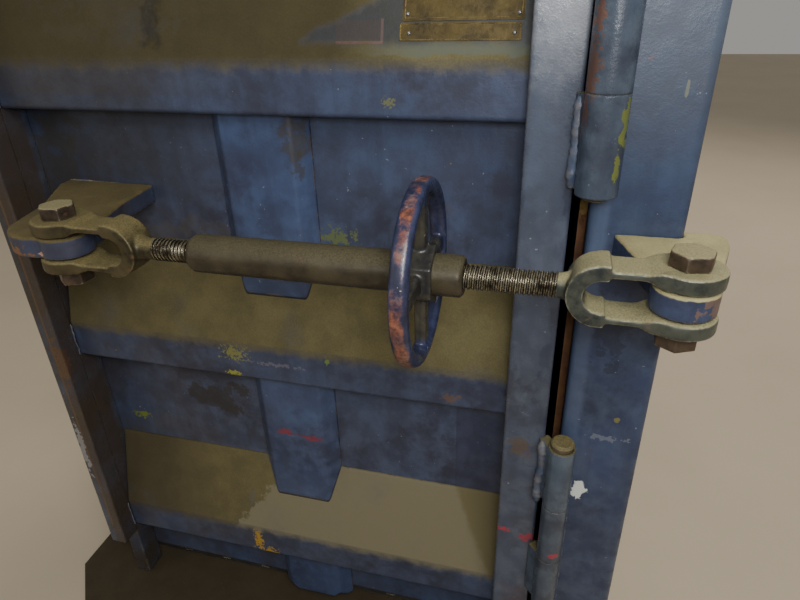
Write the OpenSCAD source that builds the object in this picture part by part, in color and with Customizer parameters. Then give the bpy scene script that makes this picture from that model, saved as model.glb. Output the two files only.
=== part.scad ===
// Downstroke recycling baler with a turnbuckle-latched bale door.
// Millimetres, +Z up, the front looks along -Y. The origin lies on the floor under the middle of
// the base deck.

/* [Base] */
// Width of the base deck
base_w = 1457; // [1420:1:1700]
// Depth of the base deck, front to back
base_d = 1080; // [1060:1:1400]
// Height of the deck's top above the floor
base_h = 130; // [115:1:200]
// Thickness of the deck plate
deck_t = 12; // [8:1:20]
// How far the deck reaches out in front of the door
apron = 120; // [60:1:200]
// Width cut off each front corner of the deck
corner_w = 126; // [40:1:200]
// Depth cut off each front corner of the deck
corner_d = 150; // [40:1:200]
// Width of a fork pocket's opening
pocket_w = 190; // [150:1:240]
// Height of a fork pocket's opening
pocket_h = 80; // [60:1:90]
// Distance between the middles of the two fork pockets
pocket_pitch = 560; // [480:1:760]

/* [Chamber] */
// Clear width between the chamber's side walls
chamber_w = 1144; // [1140:1:1180]
// Clear depth from the front posts' face to the back wall
chamber_d = 744; // [700:1:760]
// Height of the top of the chamber's walls
chamber_top = 2700; // [2650:1:2900]
// Thickness of the wall plates
wall_t = 8; // [5:1:12]
// Width of a front post, side to side
post_w = 104; // [90:1:120]
// Depth of a front post
post_d = 100; // [60:1:140]
// Height of the chamber floor's tie slats above the deck
floor_h = 34; // [20:1:60]
// Reach of the back wall's ribs
back_rib_d = 56; // [30:1:62]
// Height of the sill beam between door and feed opening
sill_h = 84; // [60:1:120]
// Height of the feed opening
feed_h = 540; // [400:1:560]
// Height of the two beams that carry the cylinder
top_beam_h = 160; // [120:1:220]
// Width of the two beams that carry the cylinder
top_beam_w = 90; // [60:1:120]

/* [Bale door] */
// Width of the door over its stiles
door_w = 1110; // [1080:1:1120]
// Height of the door's bottom edge
door_bottom = 140; // [138:1:170]
// Height of the door's top edge
door_top = 1800; // [1790:1:1850]
// Depth of the door from its stiles' front to its seat
door_d = 142; // [130:1:160]
// Running gap between the closed door and the posts
seat_gap = 2; // [1:0.5:6]
// Thickness of the door's panel
panel_t = 8; // [5:1:12]
// Thickness of folded sheet and tube walls
sheet_t = 6; // [4:1:8]
// How far the rib faces lie behind the stiles' front
rib_setback = 51; // [30:1:60]
// How far the rib faces stand in front of the panel
rib_reach = 58; // [40:1:70]
// Height of a rib's flat face
rib_face = 91; // [70:1:120]
// Height of a rib's sloping top
rib_rise = 202; // [120:1:240]
// Distance from rib to rib
rib_pitch = 559; // [500:1:580]
// Height of the lowest rib's fold
rib_low = 424; // [400:1:450]
// Outside radius of the ribs' folds
fold_r = 9; // [4:1:14]
// Width of the left stile's face
stile_left_w = 44; // [30:1:60]
// Width of the right stile's face
stile_right_w = 76; // [60:1:100]
// Width of the vertical strap's face
strap_w = 137; // [100:1:180]
// Reach of the vertical strap in front of the panel
strap_d = 29; // [15:1:35]

/* [Latch plate] */
// Width of the latch plate
latch_w = 140; // [120:1:160]
// Depth of the latch plate's side flanges
latch_d = 60; // [40:1:70]
// Thickness of the latch plate
latch_t = 10; // [6:1:14]
// Outside radius of the latch plate's corners
latch_r = 14; // [12:1:20]
// Gap between the right stile and the latch plate
latch_gap = 28; // [24:1:36]
// How far the latch plate's face lies behind the stiles' front
latch_setback = 10; // [6:1:20]
// Distance of the knee hinge's axis in front of the stiles
knee_reach = 25; // [22:1:30]
// Distance of the knee hinge's axis from the right stile
knee_out = 31.5; // [30.5:0.5:34]
// Length of one hinge knuckle
knuckle_l = 140; // [100:1:150]
// Outside diameter of the upper hinge's knuckles
knuckle_upper_d = 60.3; // [50:0.1:61]
// Outside diameter of the lower hinge's knuckles
knuckle_lower_d = 48.3; // [46:0.1:60]
// Diameter of the knee hinge pins
knee_pin_d = 32; // [24:1:36]
// Height of the lowest edge of the upper hinge
hinge_upper_z = 1371; // [1340:1:1375]
// Height of the top edge of the lower hinge
hinge_lower_z = 899; // [850:1:950]
// Thickness of a claw plate
claw_t = 22; // [14:1:30]
// Width of the keeper bars
keeper_w = 28; // [24:1:30]

/* [Turnbuckle] */
// Height of the turnbuckle's axis
link_z = 1282; // [1220:1:1300]
// Distance of the turnbuckle's axis in front of the stiles
link_reach = 150; // [140:1:170]
// Distance between the two clevis bolts
bolt_span = 947; // [940:1:970]
// Distance of the right clevis bolt from the knee hinge's axis, along X
bolt_out = 117; // [112:1:125]
// Diameter of the clevis bolts
bolt_d = 32; // [26:1:36]
// Width across the flats of bolt heads and nuts
bolt_af = 50; // [46:1:56]
// Height of a bolt's head
head_h = 21; // [16:1:26]
// Height of a nut
nut_h = 27; // [20:1:32]
// Diameter of the threaded rods
rod_d = 36; // [30:0.5:40]
// Pitch of the rods' thread
pitch = 6.35; // [5:0.05:8]
// Depth of the rods' thread
thread_h = 2.6; // [1:0.1:3.2]
// Length of the sleeve
sleeve_l = 426; // [410:1:440]
// Outside diameter of the sleeve
sleeve_d = 60.3; // [54:0.1:64]
// Distance of the sleeve's left end from the left bolt
sleeve_x = 238.5; // [230:0.5:245]
// Distance of the hand wheel's middle from the left bolt
wheel_x = 601.5; // [560:0.5:620]
// Outside diameter of the hand wheel
wheel_d = 270; // [200:1:275]
// Width of the hand wheel's rim along its axis
rim_w = 26; // [20:1:36]
// Thickness of the hand wheel's rim towards its hub
rim_t = 22; // [16:1:30]
// Number of spokes
spokes = 4; // [3:1:6]
// Thickness of the left lug, welded to the door
lug_left_t = 36; // [28:1:37]
// Thickness of the right lug, welded to the latch plate
lug_right_t = 36; // [28:1:37]
// Clear gap between a clevis's eyes
jaw_gap = 41; // [39:0.5:44]
// Play of the right bolt in its lug, on the radius
bolt_play = 2.6; // [2.4:0.1:3.5]

/* [Feed gate] */
// Distance between the outer edges of the gate's side rails
gate_w = 1206; // [1190:1:1220]
// Height of the gate
gate_h = 560; // [545:1:600]
// Thickness of the gate's rails
gate_t = 36; // [25:1:40]
// Running gap round the gate in its guides
gate_gap = 3; // [1:0.5:6]
// Upward travel of the gate
gate_travel = 500; // [300:1:540]

/* [Press] */
// Height of the platen's underside when it is raised
platen_z = 2440; // [2430:1:2460]
// Height of the platen
platen_h = 200; // [150:1:220]
// Gap between platen and chamber walls
platen_gap = 12; // [6:1:20]
// Outside diameter of the cylinder's barrel
barrel_d = 178; // [170:1:200]
// Bore of the cylinder
bore_d = 140; // [120:1:150]
// Diameter of the piston rod
ram_d = 90; // [70:1:100]
// Downward travel of the platen
stroke = 1050; // [800:1:1080]

/* [Controls] */
// Width of the control box
box_w = 300; // [280:1:360]
// Height of the control box
box_h = 420; // [400:1:500]
// Depth of the control box
box_d = 150; // [110:1:200]
// Height of the control box's lower edge
box_z = 1250; // [1200:1:1290]
// Travel of a push button
button_travel = 4; // [2:0.5:6]

/* [Hidden] */
$fn = 48;
e = 0.01;

// Planes and heights that the sub-parts share
front_y = -base_d / 2 + apron;
panel_y = front_y + rib_setback + rib_reach;
rib_y = front_y + rib_setback;
post_y = front_y + door_d + seat_gap;
back_y = post_y + chamber_d;
side_x = chamber_w / 2;
post_x = side_x + post_w;
feed_z = door_top + 6 + sill_h;
header_z = feed_z + feed_h;
rib_folds = [for (i = [0:2]) rib_low + i * rib_pitch];

// Door's inner edges and the strap
skirt_t = 10;
stile_left_x = -door_w / 2 + stile_left_w;
stile_right_x = door_w / 2 - stile_right_w;
stile_step = 4;
stile_flange_d = 50;
stile_foot_cut = 175;
stile_r = 6;
strap_r = 14;
panel_lap = 1;
panel_x = -post_x - panel_lap;
seal_w = 54;
rail_h = 52;

// Left door hinge, on the side of the left post
hinge_gap = 2;
hinge_r = 30;
hinge_x = -post_x - hinge_gap - hinge_r;
hinge_y = post_y + 56;
hinge_pin_d = 36;
hinge_strap_t = 20;
hinge_lugs = [230, 1450];
hinge_l = 200;
hinge_leaf = 70;
hinge_leaf_t = 12;
pin_fit = 0.05;

// Knee hinge and latch plate
knee_x = door_w / 2 + knee_out;
knee_y = front_y - knee_reach;
latch_x = door_w / 2 + latch_gap;
latch_y = front_y + latch_setback;
latch_bottom = door_bottom + 20;
latch_top = door_top - 10;
knuckle_gap = 0.5;
cap_h = 14;
cap_d = 42;
keeper_front = post_y + 20;
keeper_depth = 34;
claw_gap = 6;
claw_tip = 23;
claw_arm = 14;
claw_back = 30;
claw_heights = [330, 1010, 1640];
keeper_l = 90;

// Turnbuckle
bolt_right_x = knee_x + bolt_out;
bolt_left_x = bolt_right_x - bolt_span;
link_y = front_y - link_reach;
eye_r = 45;
eye_half = 43;
arm_half = 38;
arm_in = 28;
arm_hw = 28;
eye_to = 36;
eye_in = 30;
arm_from = 50;
bow_r = 45;
bow_in = 22.5;
bow_x = 102.5;
bow_lip = 94.5;
neck_l = 22;
neck_sink = 12;
neck_left = 30;
neck_right = 14;
rod_fit = 0.4;
bolt_fit = 0.1;
rod_in = 105;
chamfer = 5;
lug_nose_r = 76;
lug_root_gap = 54;
lug_root_l = 31;
lug_side = 80.5;
hub_hex = 78;
hub_back = 14;
hub_front = 22;
spoke_t = 18;
spoke_w = 28;

// Jamb bar beside the door, bare and rusty
front_bar_d = 20;
front_bar_h = 50;
front_bar_gap = 8;
jamb_w = 20;
jamb_d = 24;
jamb_gap = 17;
jamb_x = max(side_x, door_w / 2 + jamb_gap);

// Gate and its guides
gate_rest = 0.3;
gate_y = post_y - 60;
gate_bottom = door_top + 50;
guide_t = 6;
guide_lip = 26;
front_half = gate_w / 2 + gate_gap - guide_lip - front_bar_gap;
guide_bottom = gate_bottom - 30;
guide_top = gate_bottom + gate_h + gate_travel + 10;
mesh_bar = 6;
mesh_cols = 17;
mesh_rows = 7;
handle_r = 9;
handle_half = 90;
handle_out = 60;

// Press
press_y = post_y + chamber_d / 2;
flange_d = 260;
flange_t = 30;
gland_l = 110;
cap_l = 46;
piston_l = 60;
barrel_spare = 24;
barrel_l = stroke + piston_l + gland_l + cap_l + barrel_spare;
ear_gap = 70;
ear_t = 25;
ram_pin_d = 50;
ram_eye_z = platen_z + platen_h + 45;
ear_r = 60;
eye_plate_r = 52;
port_down = 90;
barrel_z = chamber_top + top_beam_h;
ram_fit = 0.3;
slat_pitch = 120;

// Power unit on the top of the machine
tank_w = 420;
tank_d = 330;
tank_h = 300;
shelf_spare = 60;
motor_d = 190;
motor_l = 300;
valve_w = 120;
valve_d = 100;
valve_h = 110;
pipe_d = 22;
port_l = 34;
port_d = 40;

// Controls on the left wall
ctrl_x = -side_x - wall_t - back_rib_d - 40;
ctrl_y = post_y + post_d + 60;
ctrl_door_t = 12;
ctrl_gap = 1;
button_r = 14;
ctrl_hinge_r = 7;
ctrl_pin_r = 3;
button_pitch = 60;
buttons_up = 120;
switch_up = 290;
bracket_w = 40;
bracket_down = 188;

// A box between two corners
module block(a, b) {
    translate(a) cube(b - a);
}

// A rectangle from a to b with round corners
module round_rect(a, b, r) {
    difference() {
        translate(a) square(b - a);
        for (i = [0, 1], j = [0, 1]) {
            c = [i == 0 ? a[0] : b[0], j == 0 ? a[1] : b[1]];
            s = [i == 0 ? 1 : -1, j == 0 ? 1 : -1];
            difference() {
                translate([c[0] - (s[0] > 0 ? e : r), c[1] - (s[1] > 0 ? e : r)]) square(r + e);
                translate([c[0] + s[0] * r, c[1] + s[1] * r]) circle(r);
            }
        }
    }
}

// A hexagon of a given width across its flats
module hexagon(af, h) {
    cylinder(h = h, r = af / sqrt(3), $fn = 6);
}

// Outline of a folded rib, seen from its end: depth against height
module rib_outline(reach, fold, face, rise) {
    polygon([[0, fold - face], [-reach, fold - face], [-reach, fold], [0, fold + rise]]);
}

// The same outline with its two folds rounded
module rib_outline_soft(reach, fold, face, rise) {
    intersection() {
        offset(r = fold_r) offset(delta = -fold_r)
            polygon([[fold_r * 3, fold - face], [-reach, fold - face], [-reach, fold],
                [0, fold + rise], [fold_r * 3, fold + rise + rise]]);
        translate([-reach - 1, fold - face - 1]) square([reach + 1, face + rise + 2]);
    }
}

// Section of a rib folded from sheet, open towards the wall behind it
module rib_section(reach, fold, face, rise) {
    n = norm([rise, reach]);
    difference() {
        rib_outline_soft(reach, fold, face, rise);
        polygon([[1, fold - face + sheet_t], [-reach + sheet_t, fold - face + sheet_t],
            [-reach + sheet_t, fold + sheet_t * (rise - n) / reach],
            [0, fold + rise - sheet_t * n / reach], [1, fold + rise - sheet_t * n / reach]]);
    }
}

// A rib along X between x0 and x1, on a wall whose face is at y
module rib_x(x0, x1, y, reach, fold, face, rise) {
    translate([x0, y, 0]) rotate([90, 0, 90]) linear_extrude(x1 - x0)
        rib_section(reach, fold, face, rise);
}

// Section of a tube with round corners from a to b
module tube_section(a, b, r, wall) {
    difference() {
        round_rect(a, b, r);
        round_rect(a + [wall, wall], b - [wall, wall], max(r - wall, 1));
    }
}

// Base frame: deck with cut front corners, a skirt in front, runners and two fork pockets
module base_frame() {
    x = base_w / 2;
    y = base_d / 2;
    z = base_h - deck_t;
    runner = 70;
    wall = 8;
    inner = pocket_pitch / 2 + pocket_w / 2 + wall;
    color("#2b3550") difference() {
        union() {
            translate([0, 0, z]) linear_extrude(deck_t)
                polygon([[-x, -y + corner_d], [-x + corner_w, -y], [x - corner_w, -y],
                    [x, -y + corner_d], [x, y], [-x, y]]);
            block([-x + corner_w, -y, 0], [x - corner_w, -y + skirt_t, z]);
            for (s = [-1, 1]) {
                linear_extrude(z) polygon([[s * x, -y + corner_d], [s * (x - corner_w), -y],
                    [s * (x - corner_w), -y + skirt_t], [s * (x - skirt_t), -y + corner_d]]);
                block([min(s * x, s * (x - runner)), -y + corner_d, 0],
                    [max(s * x, s * (x - runner)), y, z]);
                block([s * pocket_pitch / 2 - pocket_w / 2 - wall, -y + e, 0],
                    [s * pocket_pitch / 2 + pocket_w / 2 + wall, y, z]);
            }
            for (yy = [-y + corner_d, post_y, y - runner]) {
                for (s = [-1, 1])
                    block([min(s * inner, s * (x - runner)), yy, 0],
                        [max(s * inner, s * (x - runner)), yy + runner, z]);
                block([-pocket_pitch / 2 + pocket_w / 2 + wall, yy, 0],
                    [pocket_pitch / 2 - pocket_w / 2 - wall, yy + runner, z]);
            }
        }
        for (s = [-1, 1]) {
            block([s * pocket_pitch / 2 - pocket_w / 2, -y - 1, wall],
                [s * pocket_pitch / 2 + pocket_w / 2, y + 1, wall + pocket_h]);
            block([min(s * (x - wall), s * (x - runner + wall)), -y + corner_d + wall, -1],
                [max(s * (x - wall), s * (x - runner + wall)), y - wall, z - wall]);
            for (yy = [-y + corner_d, post_y, y - runner])
                block([min(s * inner, s * (x - runner)) - e, yy + wall, -1],
                    [max(s * inner, s * (x - runner)) + e, yy + runner - wall, z - wall]);
        }
        for (yy = [-y + corner_d, post_y, y - runner])
            block([-pocket_pitch / 2 + pocket_w / 2 + wall, yy + wall, -1],
                [pocket_pitch / 2 - pocket_w / 2 - wall, yy + runner - wall, z - wall]);
    }
}

// Chamber floor: a plate with slats that leave channels for the bale ties
module chamber_floor() {
    plate = 8;
    slats = floor(chamber_w / slat_pitch);
    pitch_x = (chamber_w - 2) / slats;
    gap = 24;
    color("#59605f") {
        block([-side_x + 1, post_y + 1, base_h], [side_x - 1, back_y, base_h + plate]);
        for (i = [0:slats - 1])
            block([-side_x + 1 + i * pitch_x + gap / 2, post_y + 1, base_h + plate - e],
                [-side_x + 1 + (i + 1) * pitch_x - gap / 2, back_y, base_h + floor_h]);
    }
}

// Side wall: plate with folded ribs outside, like the door's; side is -1 left or 1 right
module side_wall(side) {
    y0 = post_y + post_d;
    x1 = side_x + wall_t;
    color("#2f4a7a") mirror([side < 0 ? 1 : 0, 0, 0]) {
        block([side_x, y0, base_h], [x1, back_y + wall_t, chamber_top]);
        for (z = concat(rib_folds, [rib_low + 3 * rib_pitch]))
            translate([x1, back_y + e, 0]) rotate([90, 0, 0]) linear_extrude(back_y + e - y0)
                mirror([1, 0]) rib_section(back_rib_d, z, rib_face, rib_rise);
        block([x1 - e, back_y, base_h], [x1 + back_rib_d, back_y + wall_t, chamber_top]);
        block([x1 - e, y0, chamber_top - wall_t], [x1 + back_rib_d, back_y + wall_t, chamber_top]);
    }
}

// Back wall: plate with folded ribs behind it
module back_wall() {
    x = side_x - 1;
    color("#2f4a7a") {
        block([-x, back_y, base_h], [x, back_y + wall_t, chamber_top]);
        for (z = concat(rib_folds, [rib_low + 3 * rib_pitch]))
            translate([x, back_y + wall_t, 0]) rotate([90, 0, -90]) linear_extrude(2 * x)
                rib_section(back_rib_d, z, rib_face, rib_rise);
        for (s = [-1, 1])
            block([s * (x - wall_t / 2) - wall_t / 2, back_y + wall_t - e, base_h],
                [s * (x - wall_t / 2) + wall_t / 2, back_y + wall_t + back_rib_d, chamber_top]);
        block([-x, back_y + wall_t - e, chamber_top - wall_t],
            [x, back_y + wall_t + back_rib_d, chamber_top]);
    }
}

// Front post with a round-cornered section; the left one carries the door, the right one the keepers
module front_post(side) {
    color("#2f4a7a") mirror([side < 0 ? 1 : 0, 0, 0]) {
        translate([0, 0, base_h]) linear_extrude(chamber_top - base_h)
            tube_section([side_x, post_y], [post_x, post_y + post_d], 8, wall_t);
        translate([0, 0, chamber_top - wall_t]) linear_extrude(wall_t)
            round_rect([side_x, post_y], [post_x, post_y + post_d], 8);
    }
}

// Jamb bar: a bare bar on the right post's front face, beside the door
module jamb_bar() {
    color("#6b4330") {
        block([jamb_x, post_y - jamb_d, door_bottom + 20], [jamb_x + jamb_w, post_y, door_top]);
    }
}

// Sill beam between the posts, above the door and clear of the platen's way
module feed_sill() {
    y0 = post_y - front_bar_d;
    z0 = door_top + 6;
    color("#2f4a7a") difference() {
        union() {
            block([-side_x, post_y, z0], [side_x, post_y + wall_t, feed_z]);
            block([-front_half, y0, z0], [front_half, post_y, feed_z]);
        }
        block([-front_half - 1, y0 + sheet_t, z0 + sheet_t],
            [front_half + 1, post_y + wall_t - sheet_t, feed_z - sheet_t]);
    }
}

// Front plate above the feed opening, with two bars across it
module front_header() {
    color("#2f4a7a") {
        block([-side_x, post_y, header_z], [side_x, post_y + wall_t, chamber_top]);
        for (z = [header_z, chamber_top - front_bar_h])
            block([-front_half, post_y - front_bar_d, z], [front_half, post_y, z + front_bar_h]);
    }
}

// Top frame: two beams across the walls, end plates and the cylinder's seat
module top_frame() {
    z0 = chamber_top;
    z1 = chamber_top + top_beam_h;
    inside = flange_d / 2 - 25;
    seat_t = 25;
    color("#2f4a7a") {
        for (s = [-1, 1]) difference() {
            block([-post_x, press_y + (s < 0 ? -inside - top_beam_w : inside), z0],
                [post_x, press_y + (s < 0 ? -inside : inside + top_beam_w), z1]);
            block([-post_x - 1, press_y + wall_t + (s < 0 ? -inside - top_beam_w : inside), z0 + wall_t],
                [post_x + 1, press_y - wall_t + (s < 0 ? -inside : inside + top_beam_w), z1 - wall_t]);
        }
        difference() {
            block([-flange_d, press_y - inside - e, z1 - seat_t], [flange_d, press_y + inside + e, z1]);
            translate([0, press_y, z0]) cylinder(h = top_beam_h + 1, d = ram_d + 40);
        }
        for (s = [-1, 1])
            block([s * (post_x - 30) - 10, press_y - inside - e, z0],
                [s * (post_x - 30) + 10, press_y + inside + e, z1]);
        // Shelf for the power unit, behind the cylinder's left
        block([-post_x, press_y + inside + top_beam_w, z1 - 20],
            [-post_x + tank_w + shelf_spare, back_y + wall_t, z1]);
    }
}

// Gate guides: two open channels on the posts' front
module gate_guides() {
    out = gate_w / 2 + gate_gap;
    y0 = gate_y - gate_gap;
    y1 = gate_y + gate_t + gate_gap;
    color("#2f4a7a") for (s = [0, 1]) mirror([s, 0, 0]) {
        block([out, y0 - guide_t, guide_bottom], [out + guide_t, y1 + guide_t, guide_top]);
        block([out - guide_lip, y0 - guide_t, guide_bottom], [out, y0, guide_top]);
        block([out - guide_lip, y1, guide_bottom], [out, y1 + guide_t, guide_top]);
        block([out - guide_lip, y1 + guide_t, guide_bottom], [out + guide_t, post_y, chamber_top]);
        block([out - guide_lip, y0, guide_bottom], [out, y1, gate_bottom - gate_rest]);
    }
}

// Keeper bars: standing bars on the right post's side that the claws go behind
module keeper_bars() {
    color("#4a4f57") for (z = claw_heights)
        difference() {
            block([post_x, keeper_front, z - keeper_l / 2],
                [post_x + keeper_w, keeper_front + keeper_depth, z + keeper_l / 2]);
            translate([post_x + keeper_w, keeper_front - 1, z - keeper_l / 2 - 1]) rotate([0, -45, 0])
                cube([12, keeper_depth + 2, 12], center = false);
        }
}

// Knuckles of the left door hinge that are welded to the post's side
module body_hinge_knuckles() {
    color("#2f4a7a") for (z = hinge_lugs) {
        for (part = [0, 2]) difference() {
            union() {
                translate([hinge_x, hinge_y, z + part * hinge_l / 3])
                    cylinder(h = hinge_l / 3 - knuckle_gap, r = hinge_r);
                block([hinge_x, hinge_y, z + part * hinge_l / 3],
                    [-post_x, hinge_y + hinge_r, z + (part + 1) * hinge_l / 3 - knuckle_gap]);
            }
            translate([hinge_x, hinge_y, z - 1])
                cylinder(h = hinge_l + 2, d = hinge_pin_d + 2 * pin_fit);
        }
    }
}

// Door panel: the plate behind the ribs with its seal frame at the back
module door_panel() {
    x0 = panel_x;
    x1 = door_w / 2;
    y1 = panel_y + panel_t;
    y2 = front_y + door_d;
    z0 = door_bottom + 56;
    z1 = door_top;
    color("#2f4a7a") {
        block([x0, panel_y, z0], [x1, y1, z1]);
        block([x0, y1 - e, z0], [-door_w / 2 + seal_w, y2, z1]);
        block([x1 - seal_w, y1 - e, z0], [x1, y2, z1]);
        block([x0, y1 - e, z0], [x1, y2, z0 + seal_w]);
        block([x0, y1 - e, z1 - seal_w], [x1, y2, z1]);
    }
}

// Left stile: a flange in front and a slightly narrower web behind it, which reaches lower
module door_stile_left() {
    x0 = -door_w / 2;
    color("#2f4a7a") {
        translate([0, 0, door_bottom + stile_foot_cut])
            linear_extrude(door_top - door_bottom - stile_foot_cut)
                tube_section([x0, front_y], [stile_left_x, front_y + stile_flange_d], 4, sheet_t);
        translate([0, 0, door_bottom]) linear_extrude(door_top - door_bottom)
            tube_section([x0, front_y + stile_flange_d - e], [stile_left_x - stile_step, panel_y], 3,
                sheet_t);
        block([x0 + 1, front_y + 1, door_top - sheet_t],
            [stile_left_x - stile_step, panel_y - 1, door_top]);
    }
}

// Right stile: a square tube that carries the knee hinge
module door_stile_right() {
    color("#2f4a7a") {
        translate([0, 0, door_bottom]) linear_extrude(door_top - door_bottom)
            tube_section([stile_right_x, front_y], [door_w / 2, panel_y], stile_r, sheet_t);
        translate([0, 0, door_top - sheet_t]) linear_extrude(sheet_t)
            round_rect([stile_right_x, front_y], [door_w / 2, panel_y], stile_r);
    }
}

// Top rail between the stiles
module door_top_rail() {
    color("#2f4a7a")
        block([stile_left_x, rib_y, door_top - rail_h], [stile_right_x, panel_y, door_top]);
}

// Folded rib across the door; n counts from the lowest
module door_rib(n) {
    color("#2f4a7a") rib_x(stile_left_x, stile_right_x, panel_y, rib_reach, rib_folds[n - 1],
        rib_face, rib_rise);
}

// Vertical strap in one bay of the door; n counts from the lowest bay
module door_strap(n) {
    z0 = n == 1 ? door_bottom + 33 : rib_folds[n - 2];
    z1 = n == 4 ? door_top - rail_h : rib_folds[n - 1] - rib_face;
    color("#2f4a7a") difference() {
        translate([0, panel_y, z0]) linear_extrude(z1 - z0) intersection() {
            offset(r = strap_r) offset(delta = -strap_r)
                polygon([[-strap_w / 2 - strap_d * 2, strap_d], [-strap_w / 2, -strap_d],
                    [strap_w / 2, -strap_d], [strap_w / 2 + strap_d * 2, strap_d]]);
            translate([-strap_w, -strap_d - 1]) square([2 * strap_w, strap_d + 1]);
        }
        if (n > 1) translate([-strap_w, panel_y, 0]) rotate([90, 0, 90]) linear_extrude(2 * strap_w)
            rib_outline(rib_reach + 1, rib_folds[n - 2], rib_face, rib_rise + rib_rise / rib_reach);
        if (n == 1) for (s = [-1, 1]) translate([s * strap_w / 2, panel_y - strap_d / 2, z0])
            rotate([0, s * 45, 0]) cube([24, strap_d * 3, 24], center = true);
    }
}

// Left lug: a thick plate welded to the door's panel
module door_lug() {
    c = [bolt_left_x, link_y];
    nose = c + [-46.5, 37];
    root = stile_left_x + lug_root_gap;
    color("#2f4a7a") difference() {
        translate([0, 0, link_z - lug_left_t / 2]) linear_extrude(lug_left_t) union() {
            translate(nose) circle(lug_nose_r, $fn = 96);
            translate(c) circle(eye_r - 3, $fn = 72);
            polygon([[root, panel_y], [root + 2, panel_y - lug_root_l], c + [-142.5, 106], c + [-120, 18],
                nose, nose + [lug_nose_r - 1, 10], [c[0] - 0.5, front_y - 4], [c[0] - 13.5, panel_y]]);
        }
        translate([bolt_left_x, link_y, link_z - lug_left_t])
            cylinder(h = 2 * lug_left_t, d = bolt_d + 2 * bolt_fit);
    }
}

// Straps of the left door hinge: they reach round the post and end in a knuckle
module door_hinge_straps() {
    y0 = panel_y + panel_t;
    y1 = y0 + hinge_strap_t;
    y2 = y0 - panel_t - hinge_leaf_t;
    x0 = panel_x;
    x1 = hinge_x - hinge_r;
    x2 = x1 + hinge_strap_t;
    color("#2f4a7a") for (z = hinge_lugs) {
        z0 = z + hinge_l / 3;
        z1 = z + 2 * hinge_l / 3 - knuckle_gap;
        difference() {
            union() {
                translate([hinge_x, hinge_y, z0]) cylinder(h = z1 - z0, r = hinge_r);
                translate([0, 0, z0]) linear_extrude(z1 - z0)
                    polygon([[x0 + hinge_leaf, y2], [x0 + 8, y2], [x1, y0 + 44], [x1, hinge_y],
                        [x2, hinge_y], [x2, y1 + 38], [x2 + 32, y1], [x0, y1], [x0, y0], [x0 - 1, y0],
                        [x0 - 1, y0 - panel_t], [x0 + hinge_leaf, y0 - panel_t]]);
            }
            translate([hinge_x, hinge_y, z0 - 1]) cylinder(h = z1 - z0 + 2, d = hinge_pin_d + 2 * pin_fit);
        }
    }
}

// Pins of the left door hinge, each with a head
module door_hinge_pins() {
    color("#4a4f57") for (z = hinge_lugs) translate([hinge_x, hinge_y, z]) {
        translate([0, 0, -6]) cylinder(h = hinge_l + 6, d = hinge_pin_d);
        translate([0, 0, hinge_l]) cylinder(h = 10, d = hinge_pin_d + 12);
    }
}

// One knuckle of the knee hinge, from z0 to z1, drilled for the pin
module knee_knuckle(z0, z1, d) {
    difference() {
        translate([knee_x, knee_y, z0]) cylinder(h = z1 - z0, d = d);
        translate([knee_x, knee_y, z0 - 1]) cylinder(h = z1 - z0 + 2, d = knee_pin_d + 2 * pin_fit);
    }
}

// Door's knuckles of the knee hinge: the outer two of each hinge, welded to the right stile
module knee_knuckles_door() {
    color("#2f4a7a") {
        for (z = [hinge_upper_z, hinge_upper_z + 2 * knuckle_l]) {
            knee_knuckle(z, z + knuckle_l, knuckle_upper_d);
            knee_weld(z + 4, z + knuckle_l - 4, knuckle_upper_d);
        }
        for (z = [hinge_lower_z - knuckle_l, hinge_lower_z - 3 * knuckle_l]) {
            knee_knuckle(z, z + knuckle_l, knuckle_lower_d);
            knee_weld(z + 4, z + knuckle_l - 4, knuckle_lower_d);
        }
    }
}

// Weld between a door knuckle and the right stile's front corner
module knee_weld(z0, z1, d) {
    x = door_w / 2;
    difference() {
        translate([0, 0, z0]) linear_extrude(z1 - z0)
            polygon([[x, front_y + stile_r], [x - stile_r, front_y], [x - stile_r - 3, front_y - 4],
                [knee_x - d / 2 * 0.8, knee_y - d / 2 * 0.1], [knee_x - d / 2 * 0.5, knee_y + d / 2 * 0.7],
                [x + 5, front_y + stile_r + 3]]);
        translate([knee_x, knee_y, z0 - 1]) cylinder(h = z1 - z0 + 2, d = d - 1);
        translate([0, 0, z0 - 1]) linear_extrude(z1 - z0 + 2)
            round_rect([stile_right_x, front_y], [x, panel_y], stile_r);
    }
}

// Latch plate's knuckles: the middle one of each hinge
module knee_knuckles_plate() {
    color("#2f4a7a") {
        knee_knuckle(hinge_upper_z + knuckle_l + knuckle_gap, hinge_upper_z + 2 * knuckle_l - knuckle_gap,
            knuckle_upper_d);
        plate_weld(hinge_upper_z + knuckle_l + 4, hinge_upper_z + 2 * knuckle_l - 4, knuckle_upper_d);
        knee_knuckle(hinge_lower_z - 2 * knuckle_l + knuckle_gap, hinge_lower_z - knuckle_l - knuckle_gap,
            knuckle_lower_d);
        plate_weld(hinge_lower_z - 2 * knuckle_l + 4, hinge_lower_z - knuckle_l - 4, knuckle_lower_d);
    }
}

// Weld between a plate knuckle and the latch plate's face
module plate_weld(z0, z1, d) {
    difference() {
        block([knee_x, knee_y + d / 2 * 0.5, z0], [knee_x + d / 2 * 0.8, latch_y, z1]);
        translate([knee_x, knee_y, z0 - 1]) cylinder(h = z1 - z0 + 2, d = d - 1);
        translate([0, 0, z0 - 1]) linear_extrude(z1 - z0 + 2)
            round_rect([latch_x, latch_y], [latch_x + latch_w, latch_y + latch_d], latch_r);
    }
}

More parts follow.
